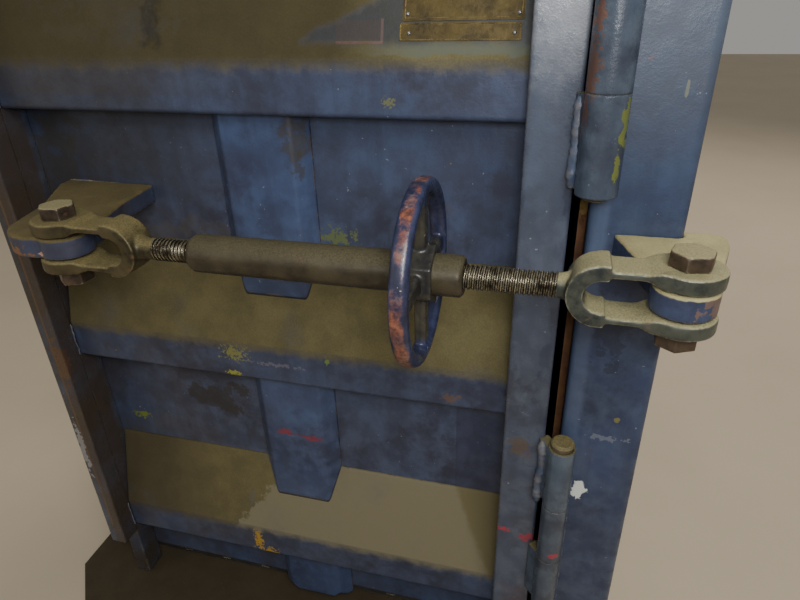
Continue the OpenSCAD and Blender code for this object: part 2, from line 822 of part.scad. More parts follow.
// Pins of the knee hinge: each has a round cap on top
module knee_pins() {
    color("#6c6a4c") {
        for (z = [hinge_upper_z, hinge_lower_z - 3 * knuckle_l]) translate([knee_x, knee_y, z]) {
            translate([0, 0, -8]) cylinder(h = 3 * knuckle_l + 8, d = knee_pin_d);
            translate([0, 0, 3 * knuckle_l]) cylinder(h = cap_h - 4, d = cap_d);
            translate([0, 0, 3 * knuckle_l + cap_h - 4]) cylinder(h = 4, d1 = cap_d, d2 = cap_d - 6);
        }
    }
}

// Latch plate: a folded channel, open at the back
module latch_plate() {
    x1 = latch_x + latch_w;
    y1 = latch_y + latch_d;
    h = latch_top - latch_bottom;
    color("#2f4a7a") translate([0, 0, latch_bottom]) difference() {
        linear_extrude(h) difference() {
            round_rect([latch_x, latch_y], [x1, y1 + latch_r], latch_r);
            round_rect([latch_x + latch_t, latch_y + latch_t], [x1 - latch_t, y1 + latch_r * 2],
                latch_r - latch_t);
            translate([latch_x - 1, y1]) square([latch_w + 2, latch_r + 1]);
        }
    }
}

// Right lug: a thick plate that stands on the latch plate's face and reaches past its outer edge
module latch_lug() {
    c = [bolt_right_x, link_y];
    x1 = latch_x + latch_w;
    color("#2f4a7a") difference() {
        translate([0, 0, link_z - lug_right_t / 2]) linear_extrude(lug_right_t) difference() {
            union() {
                translate(c) circle(eye_r - 3, $fn = 72);
                polygon([[c[0] - lug_side, latch_y + e], c + [-61.5, 98], c + [-37.5, 30], c, c + [43, 0],
                    c + [55.5, 63], [c[0] + lug_side - 3, latch_y - 19], [c[0] + lug_side, latch_y + 12],
                    [c[0] + lug_side - 10.5, latch_y + 28], [x1 - e, latch_y + 28],
                    [x1 - latch_r, latch_y + e]]);
            }
            round_rect([latch_x, latch_y], [x1, latch_y + latch_d], latch_r);
        }
        translate([bolt_right_x, link_y, link_z - lug_right_t])
            cylinder(h = 2 * lug_right_t, d = bolt_d + 2 * bolt_play);
    }
}

// Claws: hooks on the latch plate's back that go behind the keepers
module latch_claws() {
    tip_x = post_x + keeper_w + claw_gap;
    arm_x = tip_x + claw_tip;
    back_x = arm_x + claw_arm;
    tip_y = keeper_front + keeper_depth + 3;
    x1 = latch_x + latch_w;
    y1 = latch_y + latch_d;
    color("#2f4a7a") for (z = claw_heights) translate([0, 0, z - claw_t / 2])
        linear_extrude(claw_t)
            polygon([[x1 - 60, y1], [x1, y1], [x1 + 2, y1 - 20], [x1 + 6, y1 - 16],
                [back_x, keeper_front - 20], [back_x, tip_y + claw_back - 4],
                [back_x - 6, tip_y + claw_back], [tip_x + 4, tip_y + claw_back],
                [tip_x, tip_y + claw_back - 4], [tip_x, tip_y], [arm_x, tip_y],
                [arm_x, keeper_front - 16], [x1 - 30, y1 + 16]]);
}

// Points on an arc about c from angle a0 to a1
function arc(c, r, a0, a1, n) =
    [for (i = [0:n]) c + r * [cos(a0 + (a1 - a0) * i / n), sin(a0 + (a1 - a0) * i / n)]];

// Outline of a clevis seen from the front: bolt axis at x = 0, rod towards +x
module clevis_side() {
    polygon(concat([[-eye_r - 1, -eye_half], [eye_to, -eye_half], [arm_from, -arm_half],
        [bow_lip, -arm_half], [bow_lip, -bow_r]], arc([bow_x, 0], bow_r, -90, 90, 24),
        [[bow_lip, bow_r], [bow_lip, arm_half], [arm_from, arm_half], [eye_to, eye_half],
        [-eye_r - 1, eye_half], [-eye_r - 1, jaw_gap / 2], [eye_in, jaw_gap / 2], [arm_from, arm_in],
        [bow_lip, arm_in], [bow_lip, bow_in]], arc([bow_x, 0], bow_in, 90, -90, 16),
        [[bow_lip, -bow_in], [bow_lip, -arm_in], [arm_from, -arm_in], [eye_in, -jaw_gap / 2],
        [-eye_r - 1, -jaw_gap / 2]]));
}

// Outline of a clevis seen from above
module clevis_plan() {
    circle(eye_r, $fn = 72);
    polygon([[eye_r * 0.5, eye_r * 0.86], [arm_from + 6, arm_hw], [bow_x + bow_r + 1, arm_hw],
        [bow_x + bow_r + 1, -arm_hw], [arm_from + 6, -arm_hw], [eye_r * 0.5, -eye_r * 0.86]]);
}

// Rod along +x: a neck from the bow, a plain stretch to x0 and thread rings at their pitch to x1
module threaded_rod(x0, x1) {
    r = rod_d / 2;
    neck_x = bow_x + bow_r - neck_sink;
    turns = floor((x1 - x0) / pitch);
    crest = pitch * 0.2;
    rotate([0, 90, 0]) rotate_extrude()
        polygon(concat([[0, neck_x], [r + 4, neck_x], [r - 1, neck_x + neck_l], [r - 1, x0]],
            [for (i = [0:turns - 1]) each [[r - thread_h, x0 + 0.5 + i * pitch],
                [r, x0 + i * pitch + pitch / 2 - crest], [r, x0 + i * pitch + pitch / 2 + crest]]],
            [[r - thread_h, x0 + turns * pitch], [0, x0 + turns * pitch]]));
}

// Clevis with its rod: bolt axis at the origin along Z, rod towards +x, thread from x0 to x1
module clevis(x0, x1) {
    difference() {
        union() {
            intersection() {
                rotate([90, 0, 0]) linear_extrude(4 * eye_r, center = true) clevis_side();
                linear_extrude(4 * eye_half, center = true) clevis_plan();
            }
            threaded_rod(x0, x1);
        }
        translate([0, 0, -eye_half - 1]) cylinder(h = 2 * eye_half + 2, d = bolt_d + 2 * bolt_fit);
    }
}

// Left clevis: its rod reaches into the sleeve from the left
module left_clevis() {
    color("#6b6a52") translate([bolt_left_x, link_y, link_z])
        clevis(bow_x + bow_r + neck_left, sleeve_x + rod_in);
}

// Right clevis: its rod reaches into the sleeve from the right
module right_clevis() {
    color("#6b6a52") translate([bolt_right_x, link_y, link_z]) mirror([1, 0, 0])
        clevis(bow_x + bow_r + neck_right, bolt_span - sleeve_x - sleeve_l + rod_in + 20);
}

// Clevis bolt with hexagonal head above and a nut below
module clevis_bolt(x) {
    color("#55565a") translate([x, link_y, link_z]) {
        translate([0, 0, -eye_half - nut_h - 5]) cylinder(h = 2 * eye_half + nut_h + 5 + e, d = bolt_d);
        translate([0, 0, eye_half]) intersection() {
            rotate([0, 0, 12]) hexagon(bolt_af, head_h);
            cylinder(h = head_h, d1 = bolt_af * 1.3, d2 = bolt_af * 1.08);
        }
        translate([0, 0, -eye_half - nut_h]) difference() {
            rotate([0, 0, 24]) hexagon(bolt_af, nut_h);
            translate([0, 0, -1]) cylinder(h = nut_h + 2, d = bolt_d + 2 * bolt_fit);
        }
    }
}

// Turnbuckle sleeve: a tube threaded at both ends, chamfered outside
module turnbuckle_sleeve() {
    r = sleeve_d / 2;
    bore = rod_d / 2 + rod_fit;
    color("#5a5748") translate([bolt_left_x + sleeve_x, link_y, link_z]) rotate([0, 90, 0])
        rotate_extrude($fn = 96)
            polygon([[bore, 0], [r - chamfer, 0], [r, chamfer * 1.6], [r, sleeve_l - chamfer],
                [r - chamfer, sleeve_l], [bore, sleeve_l]]);
}

// Hand wheel: a round rim, spokes and a hexagonal hub, clamped on the sleeve
module hand_wheel() {
    rim_c = wheel_d / 2 - rim_t / 2;
    bore = sleeve_d / 2 + rod_fit / 2;
    color("#5f5366") translate([bolt_left_x + wheel_x, link_y, link_z]) rotate([0, 90, 0])
        difference() {
            union() {
                rotate_extrude($fn = 96) translate([rim_c, 0])
                    round_rect([-rim_t / 2, -rim_w / 2], [rim_t / 2, rim_w / 2], rim_t / 2 - 2);
                translate([0, 0, -hub_back]) hexagon(hub_hex, hub_back + hub_front);
                for (i = [0:spokes - 1]) rotate([0, 0, i * 360 / spokes])
                    translate([hub_hex / 2 - 6, 0, 0]) rotate([0, 90, 0])
                        linear_extrude(rim_c - hub_hex / 2 + 6)
                            round_rect([-spoke_t / 2, -spoke_w / 2], [spoke_t / 2, spoke_w / 2],
                                spoke_t / 2 - 2);
            }
            translate([0, 0, -2 * hub_back]) cylinder(h = 3 * hub_back + 2 * hub_front, r = bore, $fn = 72);
        }
}

// Gate frame: four rails and a handle
module gate_frame() {
    x = gate_w / 2;
    rail = 40;
    z1 = gate_bottom + gate_h;
    color("#2f4a7a") {
        for (s = [-1, 1])
            block([s * (x - rail / 2) - rail / 2, gate_y, gate_bottom],
                [s * (x - rail / 2) + rail / 2, gate_y + gate_t, z1]);
        for (z = [gate_bottom, z1 - rail])
            block([-x + rail - e, gate_y, z], [x - rail + e, gate_y + gate_t, z + rail]);
        // Handle: a bent bar below the middle
        for (s = [-1, 1]) translate([s * handle_half, gate_y, gate_bottom + rail / 2])
            rotate([90, 0, 0]) cylinder(h = handle_out, r = handle_r);
        translate([-handle_half, gate_y - handle_out, gate_bottom + rail / 2]) rotate([0, 90, 0])
            cylinder(h = 2 * handle_half, r = handle_r);
        for (s = [-1, 1])
            translate([s * handle_half, gate_y - handle_out, gate_bottom + rail / 2]) sphere(handle_r);
    }
}

// Gate mesh: flat bars both ways
module gate_mesh() {
    x = gate_w / 2 - 40;
    z0 = gate_bottom + 40;
    z1 = gate_bottom + gate_h - 40;
    y = gate_y + gate_t / 2;
    color("#3a4356") {
        for (i = [1:mesh_cols]) {
            c = -x + i * 2 * x / (mesh_cols + 1);
            block([c - mesh_bar / 2, y - 3, z0], [c + mesh_bar / 2, y + 3, z1]);
        }
        for (i = [1:mesh_rows]) {
            c = z0 + i * (z1 - z0) / (mesh_rows + 1);
            block([-x, y - 2, c - mesh_bar / 2], [x, y + 2, c + mesh_bar / 2]);
        }
    }
}

// Platen: a plate with tie channels below, box beams above and two ears for the ram pin
module platen() {
    x = side_x - platen_gap;
    y0 = post_y + wall_t + platen_gap;
    y1 = back_y - platen_gap;
    z1 = platen_z + platen_h;
    slats = floor(chamber_w / slat_pitch);
    step = 2 * x / slats;
    plate = 10;
    z2 = platen_z + floor_h;
    color("#59605f") difference() {
        union() {
            block([-x, y0, z2], [x, y1, z2 + plate]);
            for (i = [0:slats - 1])
                block([-x + i * step + (i > 0 ? 10 : 0), y0, platen_z],
                    [-x + (i + 1) * step - (i < slats - 1 ? 10 : 0), y1, z2 + e]);
            for (s = [-1, 1]) {
                difference() {
                    block([-x + 60 - e, press_y + s * 150 - 40, z2], [x - 60 + e, press_y + s * 150 + 40, z1 - 40]);
                    block([-x + 59, press_y + s * 150 - 40 + wall_t, z2 + plate],
                        [x - 59, press_y + s * 150 + 40 - wall_t, z1 - 40 - wall_t]);
                }
                difference() {
                    block([s * (x - 30) - 30, y0, z2], [s * (x - 30) + 30, y1, z1 - 20]);
                    block([s * (x - 30) - 30 + wall_t, y0 + wall_t, z2 + plate],
                        [s * (x - 30) + 30 - wall_t, y1 - wall_t, z1 - 20 - wall_t]);
                }
                block([s * (ear_gap / 2 + ear_t / 2) - ear_t / 2, press_y - 110 - e, z2],
                    [s * (ear_gap / 2 + ear_t / 2) + ear_t / 2, press_y + 110 + e, z1 - 60]);
                block([s * (ear_gap / 2 + ear_t / 2) - ear_t / 2, press_y - 60, z2],
                    [s * (ear_gap / 2 + ear_t / 2) + ear_t / 2, press_y + 60, ram_eye_z]);
                translate([s * (ear_gap / 2 + ear_t / 2), press_y, ram_eye_z]) rotate([0, 90, 0])
                    cylinder(h = ear_t, r = ear_r, center = true);
            }
        }
        translate([0, press_y, ram_eye_z]) rotate([0, 90, 0])
            cylinder(h = ear_gap + 2 * ear_t + 2, d = ram_pin_d + 2 * pin_fit, center = true);
    }
}

// Piston rod with its eye below and the piston above
module cylinder_rod() {
    top = barrel_z + barrel_l - cap_l - 4;
    neck = ram_eye_z + ear_r + 4;
    color("#b9bcc0") translate([0, press_y, 0]) difference() {
        union() {
            translate([0, 0, ram_eye_z]) rotate([0, 90, 0])
                cylinder(h = ear_gap - 2, r = eye_plate_r, center = true);
            block([-ear_gap / 2 + 1, -ram_d / 2, ram_eye_z], [ear_gap / 2 - 1, ram_d / 2, neck]);
            translate([0, 0, neck - e]) cylinder(h = top - piston_l - neck + e, d = ram_d);
            translate([0, 0, top - piston_l - e]) cylinder(h = piston_l, d = bore_d - 2 * ram_fit);
        }
        translate([0, 0, ram_eye_z]) rotate([0, 90, 0])
            cylinder(h = ear_gap + 2, d = ram_pin_d + 2 * pin_fit, center = true);
    }
}

// Pin through the platen's ears and the rod's eye, with a collar at each end
module ram_pin() {
    l = ear_gap + 2 * ear_t;
    color("#8a8d92") translate([0, press_y, ram_eye_z]) rotate([0, 90, 0]) {
        cylinder(h = l, d = ram_pin_d, center = true);
        for (s = [-1, 1]) translate([0, 0, s * (l / 2 + 5)])
            cylinder(h = 10, d = ram_pin_d + 16, center = true);
    }
}

// Cylinder barrel: a tube with mounting flange below and a closed end above
module cylinder_barrel() {
    color("#2f4a7a") translate([0, press_y, barrel_z]) {
        rotate_extrude($fn = 72)
            polygon([[bore_d / 2, 0], [flange_d / 2, 0], [flange_d / 2, flange_t], [barrel_d / 2 + 8, flange_t],
                [barrel_d / 2, flange_t + 8], [barrel_d / 2, barrel_l - 60], [barrel_d / 2 + 10, barrel_l - 52],
                [barrel_d / 2 + 10, barrel_l], [0, barrel_l], [0, barrel_l - cap_l],
                [bore_d / 2, barrel_l - cap_l]]);
        translate([0, -barrel_d / 2 + 4, barrel_l - port_down]) rotate([90, 0, 0]) cylinder(h = port_l, d = port_d);
        translate([0, -barrel_d / 2 + 4, flange_t + gland_l]) rotate([90, 0, 0])
            cylinder(h = port_l, d = port_d);
    }
}

// Gland: the bush that guides the rod in the barrel's lower end
module cylinder_gland() {
    color("#8a8d92") translate([0, press_y, barrel_z]) rotate_extrude($fn = 72)
        polygon([[ram_d / 2 + ram_fit, -12], [ram_d / 2 + 18, -12], [ram_d / 2 + 18, 0], [bore_d / 2, 0],
            [bore_d / 2, gland_l], [ram_d / 2 + ram_fit, gland_l]]);
}

// Place of the tank's lower left front corner
tank_at = [-post_x + 20, back_y + wall_t - tank_d, chamber_top + top_beam_h];

// Oil tank with its lid and sight glass
module oil_tank() {
    color("#39424f") translate(tank_at) {
        difference() {
            linear_extrude(tank_h) round_rect([0, 0], [tank_w, tank_d], 18);
            translate([0, 0, sheet_t]) linear_extrude(tank_h)
                round_rect([sheet_t, sheet_t], [tank_w - sheet_t, tank_d - sheet_t], 12);
        }
        translate([0, 0, tank_h - e]) linear_extrude(10) round_rect([-8, -8], [tank_w + 8, tank_d + 8], 20);
    }
}

// Pump motor on the tank's lid: cooling fins, flange, fan cover and terminal box
module pump_motor() {
    fins = 20;
    color("#4d5a66") translate(tank_at + [tank_w * 0.32, tank_d / 2, tank_h + 10 - e]) {
        cylinder(h = 24, d = motor_d + 30, $fn = 72);
        translate([0, 0, 24 - e]) cylinder(h = motor_l - 90, d = motor_d - 24, $fn = 72);
        for (i = [0:fins - 1]) rotate([0, 0, i * 360 / fins])
            translate([motor_d / 2 - 20, -2, 24 - e]) cube([20, 4, motor_l - 110]);
        translate([0, 0, motor_l - 70]) cylinder(h = 70, d = motor_d + 6, $fn = 72);
        translate([-50, -motor_d / 2 - 36, 70]) cube([100, 48, 90]);
    }
}

// Valve block on the tank's lid with two solenoid coils
module valve_block() {
    color("#77797c") translate(tank_at + [tank_w - valve_w - 20, 20, tank_h + 10]) {
        cube([valve_w, valve_d, valve_h]);
        for (s = [-1, 1]) translate([valve_w / 2 + s * valve_w / 2, valve_d / 2, valve_h * 0.7])
            rotate([0, s * 90, 0]) cylinder(h = 14, d = 44);
        translate([valve_w / 2, valve_d / 2, valve_h - e]) cylinder(h = 26, d = 30);
    }
}

// Filler cap with breather on the tank's lid
module filler_cap() {
    color("#20242a") translate(tank_at + [tank_w - 60, tank_d - 60, tank_h + 10]) {
        cylinder(h = 16, d = 70);
        translate([0, 0, 16 - e]) cylinder(h = 22, d = 54);
    }
}

// A rigid pipe through a list of points, with a ball at each bend
module pipe(points) {
    for (i = [0:len(points) - 2]) {
        d = points[i + 1] - points[i];
        l = norm(d);
        translate(points[i]) rotate([0, acos(d[2] / l), atan2(d[1], d[0])]) cylinder(h = l, d = pipe_d);
        if (i > 0) translate(points[i]) sphere(d = pipe_d);
    }
}

valve_at = tank_at + [tank_w - valve_w - 20, 20, tank_h + 10];
port_y = press_y - barrel_d / 2 + 4 - port_l;

// Pipe from the valve block to the port near the barrel's closed end
module pipe_cap_end() {
    z = barrel_z + barrel_l - port_down;
    x = -barrel_d / 2 - 60;
    color("#6f7276") pipe([valve_at + [valve_w * 0.25, 0, 40], valve_at + [valve_w * 0.25, -40, 40],
        [valve_at[0] + valve_w * 0.25, port_y - 30, valve_at[2] + 40],
        [x, port_y - 30, valve_at[2] + 40], [x, port_y - 30, z], [0, port_y - 30, z],
        [0, port_y, z]]);
}

// Pipe from the valve block to the port beside the gland
module pipe_gland_end() {
    z = barrel_z + flange_t + gland_l;
    color("#6f7276") pipe([valve_at + [valve_w * 0.75, 0, 40], valve_at + [valve_w * 0.75, -40, 40],
        [valve_at[0] + valve_w * 0.75, valve_at[1] - 40, z], [valve_at[0] + valve_w * 0.75, port_y - 30, z],
        [0, port_y - 30, z], [0, port_y, z]]);
}

// Control box on the left wall, open on its outer side
module control_box() {
    wall = 4;
    x1 = -side_x - wall_t;
    color("#3c4450") {
        difference() {
            block([ctrl_x - box_d, ctrl_y, box_z], [ctrl_x, ctrl_y + box_w, box_z + box_h]);
            block([ctrl_x - box_d - 1, ctrl_y + wall, box_z + wall],
                [ctrl_x - wall, ctrl_y + box_w - wall, box_z + box_h - wall]);
        }
        // Brackets, cut to the wall's ribs
        difference() {
            for (z = [20, box_h - bracket_down])
                block([ctrl_x - e, ctrl_y + 60, box_z + z], [x1, ctrl_y + box_w - 60, box_z + z + bracket_w]);
            for (z = rib_folds) translate([x1, ctrl_y + box_w, 0]) rotate([90, 0, 0])
                linear_extrude(box_w) rib_outline(back_rib_d, z, rib_face, rib_rise);
        }
        // Hinge knuckles on the box's rear edge
        for (z = [box_z + 60, box_z + box_h - 120]) difference() {
            translate([ctrl_x - box_d, ctrl_y + box_w + ctrl_hinge_r, z]) cylinder(h = 30, r = ctrl_hinge_r);
            translate([ctrl_x - box_d, ctrl_y + box_w + ctrl_hinge_r, z - 1])
                cylinder(h = 32, r = ctrl_pin_r + pin_fit);
        }
    }
}

// Door of the control box with holes for the buttons
module control_box_door() {
    x1 = ctrl_x - box_d - ctrl_gap;
    x0 = x1 - ctrl_door_t;
    hy = ctrl_y + box_w + ctrl_hinge_r;
    color("#3c4450") difference() {
        union() {
            block([x0, ctrl_y - 4, box_z - 4], [x1, ctrl_y + box_w, box_z + box_h + 4]);
            for (z = [box_z + 90.5, box_z + box_h - 89.5])
                translate([ctrl_x - box_d, hy, z]) cylinder(h = 29, r = ctrl_hinge_r);
            for (z = [box_z + 90.5, box_z + box_h - 89.5]) {
                block([x0, ctrl_y + box_w - e, z], [x1, hy, z + 29]);
                translate([ctrl_x - box_d, hy, z - 30]) cylinder(h = 31, r = ctrl_pin_r);
            }
        }
        for (b = button_places) translate([x0 - 1, b[0], b[1]]) rotate([0, 90, 0])
            cylinder(h = ctrl_door_t + 2, r = b[2] + ram_fit);
    }
}

// Buttons and switch on the box's door: place along Y, height, shaft radius
ctrl_mid = ctrl_y + box_w / 2;
button_places = [[ctrl_mid - button_pitch, box_z + buttons_up, button_r],
    [ctrl_mid, box_z + buttons_up, button_r],
    [ctrl_mid + button_pitch, box_z + buttons_up, button_r], [ctrl_mid, box_z + switch_up, 8]];

// A push button: a cap outside and a shaft through the door
module push_button(place, cap_r, cap_l, tone) {
    x0 = ctrl_x - box_d - ctrl_gap - ctrl_door_t;
    color(tone) translate([x0 - button_travel - 1, place[0], place[1]]) rotate([0, 90, 0]) {
        translate([0, 0, -cap_l]) cylinder(h = cap_l, r = cap_r);
        translate([0, 0, -e]) cylinder(h = ctrl_door_t + button_travel + 6, r = place[2]);
        translate([0, 0, ctrl_door_t + button_travel + 1 + 1]) cylinder(h = 4, r = place[2] + 3);
    }
}

module up_button() push_button(button_places[0], 17, 8, "#2e7a45");
module down_button() push_button(button_places[1], 17, 8, "#22262b");
module emergency_stop() push_button(button_places[2], 24, 18, "#b3261e");

// Handle of the main disconnect: it turns a quarter turn
module disconnect_handle() {
    place = button_places[3];
    x0 = ctrl_x - box_d - ctrl_gap - ctrl_door_t;
    color("#8e1f1a") translate([x0 - 0.5, place[0], place[1]]) rotate([0, 90, 0]) {
        translate([0, 0, -14]) cylinder(h = 14, r = 28);
        translate([0, 0, -30]) linear_extrude(17) round_rect([-38, -9], [38, 9], 6);
        translate([0, 0, -e]) cylinder(h = ctrl_door_t + 8, r = place[2]);
        translate([0, 0, ctrl_door_t + 3]) cylinder(h = 5, r = place[2] + 4);
    }
}

module side_wall_left() side_wall(-1);
module side_wall_right() side_wall(1);
module front_post_left() front_post(-1);
module front_post_right() front_post(1);
module door_rib_1() door_rib(1);
module door_rib_2() door_rib(2);
module door_rib_3() door_rib(3);
module door_strap_1() door_strap(1);
module door_strap_2() door_strap(2);
module door_strap_3() door_strap(3);
module door_strap_4() door_strap(4);
module left_bolt() clevis_bolt(bolt_left_x);
module right_bolt() clevis_bolt(bolt_right_x);

base_frame();
chamber_floor();
side_wall_left();
side_wall_right();
back_wall();
front_post_left();
front_post_right();
jamb_bar();
feed_sill();
front_header();
top_frame();
gate_guides();
keeper_bars();
body_hinge_knuckles();
cylinder_barrel();
cylinder_gland();
oil_tank();
pump_motor();
valve_block();
filler_cap();
pipe_cap_end();
pipe_gland_end();
control_box();
door_panel();
door_stile_left();
door_stile_right();
door_top_rail();
door_rib_1();
door_rib_2();
door_rib_3();
door_strap_1();
door_strap_2();
door_strap_3();
door_strap_4();
door_lug();
door_hinge_straps();
door_hinge_pins();
knee_knuckles_door();
knee_pins();
latch_plate();
latch_lug();
latch_claws();
knee_knuckles_plate();
left_clevis();
left_bolt();
turnbuckle_sleeve();
hand_wheel();
right_clevis();
right_bolt();
gate_frame();
gate_mesh();
platen();
cylinder_rod();
ram_pin();
control_box_door();
up_button();
down_button();
emergency_stop();
disconnect_handle();
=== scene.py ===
# %% [markdown]
# # A recycling baler, dressed in Blender
#
# An upright baler presses paper and film into bales. Its heavy bale door is drawn shut by a
# turnbuckle: a sleeve with a hand wheel that pulls two threaded rods together. The solids come
# packed, in metres, with each one at its true place. This script gives them worn paint, dust, rust
# and bare steel, and adds the small things that a solid model leaves out, such as welds and plates.

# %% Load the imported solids
import bpy
import bmesh
import math
import random
from mathutils import Matrix, Vector, noise


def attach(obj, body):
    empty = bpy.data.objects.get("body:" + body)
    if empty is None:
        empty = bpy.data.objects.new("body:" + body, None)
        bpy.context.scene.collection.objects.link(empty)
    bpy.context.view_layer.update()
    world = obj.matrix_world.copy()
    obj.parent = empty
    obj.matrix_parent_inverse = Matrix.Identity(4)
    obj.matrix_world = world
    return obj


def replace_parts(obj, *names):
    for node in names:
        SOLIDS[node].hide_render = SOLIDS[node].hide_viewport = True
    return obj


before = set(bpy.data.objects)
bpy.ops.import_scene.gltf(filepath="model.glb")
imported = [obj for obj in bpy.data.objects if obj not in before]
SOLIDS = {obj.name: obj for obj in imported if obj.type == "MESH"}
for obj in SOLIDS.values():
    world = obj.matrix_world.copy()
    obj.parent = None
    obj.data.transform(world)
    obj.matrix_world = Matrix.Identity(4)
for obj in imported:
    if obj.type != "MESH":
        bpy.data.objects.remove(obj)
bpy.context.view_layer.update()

# %% [markdown]
# ## The camera
#
# A camera is a matrix: its columns are the directions to its right, up and back, and its place. The
# photograph looks down at the turnbuckle from about a standing person's eye height, a little from
# the left of the latch. The lens length follows from how fast lines converge in the picture.

# %% Place the camera
PHOTO_WIDTH = 800
FOCAL_PIXELS = 601.0
SENSOR_WIDTH = 36.0
EYE = Vector((0.5365, -1.320, 1.646))
RIGHT = Vector((0.96606, 0.25704, -0.02559))
DOWN = Vector((0.09819, -0.45706, -0.88400))
AHEAD = Vector((-0.23891, 0.85149, -0.46679))


def put_in(name, data):
    """An object that holds this mesh, lens or light, put in the scene."""
    made = bpy.data.objects.new(name, data)
    bpy.context.scene.collection.objects.link(made)
    return made


lens = bpy.data.cameras.new("camera")
lens.sensor_width = SENSOR_WIDTH
lens.lens = SENSOR_WIDTH * FOCAL_PIXELS / PHOTO_WIDTH
lens.clip_start, lens.clip_end = 0.02, 200.0
camera = put_in("camera", lens)
aim = Matrix((RIGHT, -DOWN, -AHEAD)).transposed().to_quaternion()
camera.matrix_world = Matrix.Translation(EYE) @ aim.to_matrix().to_4x4()
bpy.context.scene.camera = camera
print("lens:", round(lens.lens, 2), "mm")

# %% [markdown]
# ## Colours and nodes
#
# A colour that is picked on a screen is sRGB, but a shader counts light, which is linear.
# One function turns each hex value into linear light. One more adds a shader node, with its
# settings and its links, and gives back the output that the next node reads. A material can then
# be read as a short list of coats, from the ground outwards: where each one lies, how much it
# covers, and its colour.

# %% Helpers for materials
SOFT = {"interpolation_type": "SMOOTHSTEP"}  # a mask's rim that eases in and out


def tint(code):
    """A hex colour, as seen on a screen, turned to linear light with full opacity."""
    parts = [int(code[i:i + 2], 16) / 255 for i in (1, 3, 5)]
    light = [p / 12.92 if p <= 0.04045 else ((p + 0.055) / 1.055) ** 2.4 for p in parts]
    return (*light, 1.0)


def feed(node, inputs):
    """Links each input that another node's output feeds, and sets each one that has a value."""
    for name, value in inputs.items():
        if isinstance(value, bpy.types.NodeSocket):
            node.id_data.links.new(value, node.inputs[name])
        else:
            node.inputs[name].default_value = value


def add(tree, kind, inputs, out=0, **settings):
    """Adds a node with its settings and its inputs, and returns one of its outputs."""
    made = tree.nodes.new("ShaderNode" + kind)
    for name, value in settings.items():
        setattr(made, name, value)
    feed(made, inputs)
    return made.outputs[out]


def coats(tree, place, ground, *layers):
    """Lays coats over a ground colour; each is its mask, the most it covers, and its colour."""
    for mask, most, over in layers:
        share = mask(tree, place) if callable(mask) else mask  # a mark is drawn only now
        if most < 1.0:
            share = add(tree, "Math", {0: share, 1: most}, operation="MULTIPLY")
        ground, over = [tint(c) if isinstance(c, str) else c for c in (ground, over)]
        ground = add(tree, "Mix", {0: share, 6: ground, 7: over}, 2, data_type="RGBA")
    return ground


def finish(name):
    """A new material, its tree, its shader, and the place on the object that patterns read."""
    made = bpy.data.materials.new(name)
    made.use_nodes = True
    tree = made.node_tree
    return made, tree, tree.nodes["Principled BSDF"], add(tree, "TexCoord", {}, "Object")


print("helpers ready; mid blue is", [round(v, 3) for v in tint("#33415e")])

# %% [markdown]
# ## Where wear, dust and marks fall
#
# Old machinery paint tells its story by place. Dust settles where a surface faces up, paint is
# rubbed off where an edge sticks out, and stains lie in blotches of a certain size. Each of these
# is a mask: a number from 0 to 1 over the surface. They all read the object's own coordinates, in
# metres, so a size in millimetres on the real machine can be written down as it is. Real dust and
# grit are finer than the picture can show, so their grain is drawn 2 to 3 mm coarse.

# %% Patches and steps
def blotches(tree, place, size, low, high, stretch=(1.0, 1.0, 1.0), detail=4.0):
    """Soft patches about size millimetres across: 0 where the noise is under low, 1 over high."""
    scale = tuple(1000.0 / size / s for s in stretch)
    spread = add(tree, "Mapping", {"Vector": place, "Scale": scale})
    cloud = add(tree, "TexNoise", {"Vector": spread, "Scale": 1.0, "Detail": detail,
                                   "Roughness": 0.62})
    return add(tree, "MapRange", {"Value": cloud, "From Min": low, "From Max": high}, **SOFT)


def step_across(tree, place, along, start, end):
    """0 before start and 1 after end, in millimetres along a direction."""
    far = add(tree, "VectorMath", {0: place, 1: along}, "Value", operation="DOT_PRODUCT")
    return add(tree, "MapRange", {"Value": far, "From Min": start / 1000, "From Max": end / 1000},
               **SOFT)


print("noise and steps ready")

# %% Rubbed edges and settled dust
def rubbed(tree, place, radius, size, low, most, cast):
    """A normal rounded over a radius in metres, and where edges are rubbed, in patches (mm).

    On a plain solid the rounded normal differs from the flat one at an edge. A finely meshed
    casting or forging has no such edge, and is rubbed where its points stick out.
    """
    rounded = add(tree, "Bevel", {"Radius": radius}, samples=4)
    if cast:
        bent, flat_value, bent_value = add(tree, "NewGeometry", {}, "Pointiness"), 0.515, 0.56
    else:
        flat = add(tree, "NewGeometry", {}, "Normal")
        bent = add(tree, "VectorMath", {0: flat, 1: rounded}, "Value", operation="DOT_PRODUCT")
        flat_value, bent_value = 0.995, 0.93
    edge = add(tree, "MapRange", {"Value": bent, "From Min": flat_value, "From Max": bent_value},
               **SOFT)
    patch = blotches(tree, place, size, low, 0.60)
    edge = add(tree, "Math", {0: edge, 1: patch}, operation="MULTIPLY")
    return rounded, add(tree, "Math", {0: edge, 1: most}, operation="MULTIPLY", use_clamp=True)


def dust_on(tree, place, low, high, size, span, least, dust, spilled=None):
    """Dust that starts where a normal's upward share is low and is thickest at high, in patches."""
    upward = add(tree, "SeparateXYZ", {0: add(tree, "NewGeometry", {}, "Normal")}, "Z")
    settled = add(tree, "MapRange", {"Value": upward, "From Min": low, "From Max": high}, **SOFT)
    if spilled:
        settled = add(tree, "Math", {0: settled, 1: spilled}, operation="MAXIMUM")
    patch = add(tree, "MapRange", {"Value": blotches(tree, place, size, *span), "To Min": least})
    settled = add(tree, "Math", {0: settled, 1: patch}, operation="MULTIPLY")
    return add(tree, "Math", {0: settled, 1: dust}, operation="MULTIPLY", use_clamp=True)


print("masks ready")
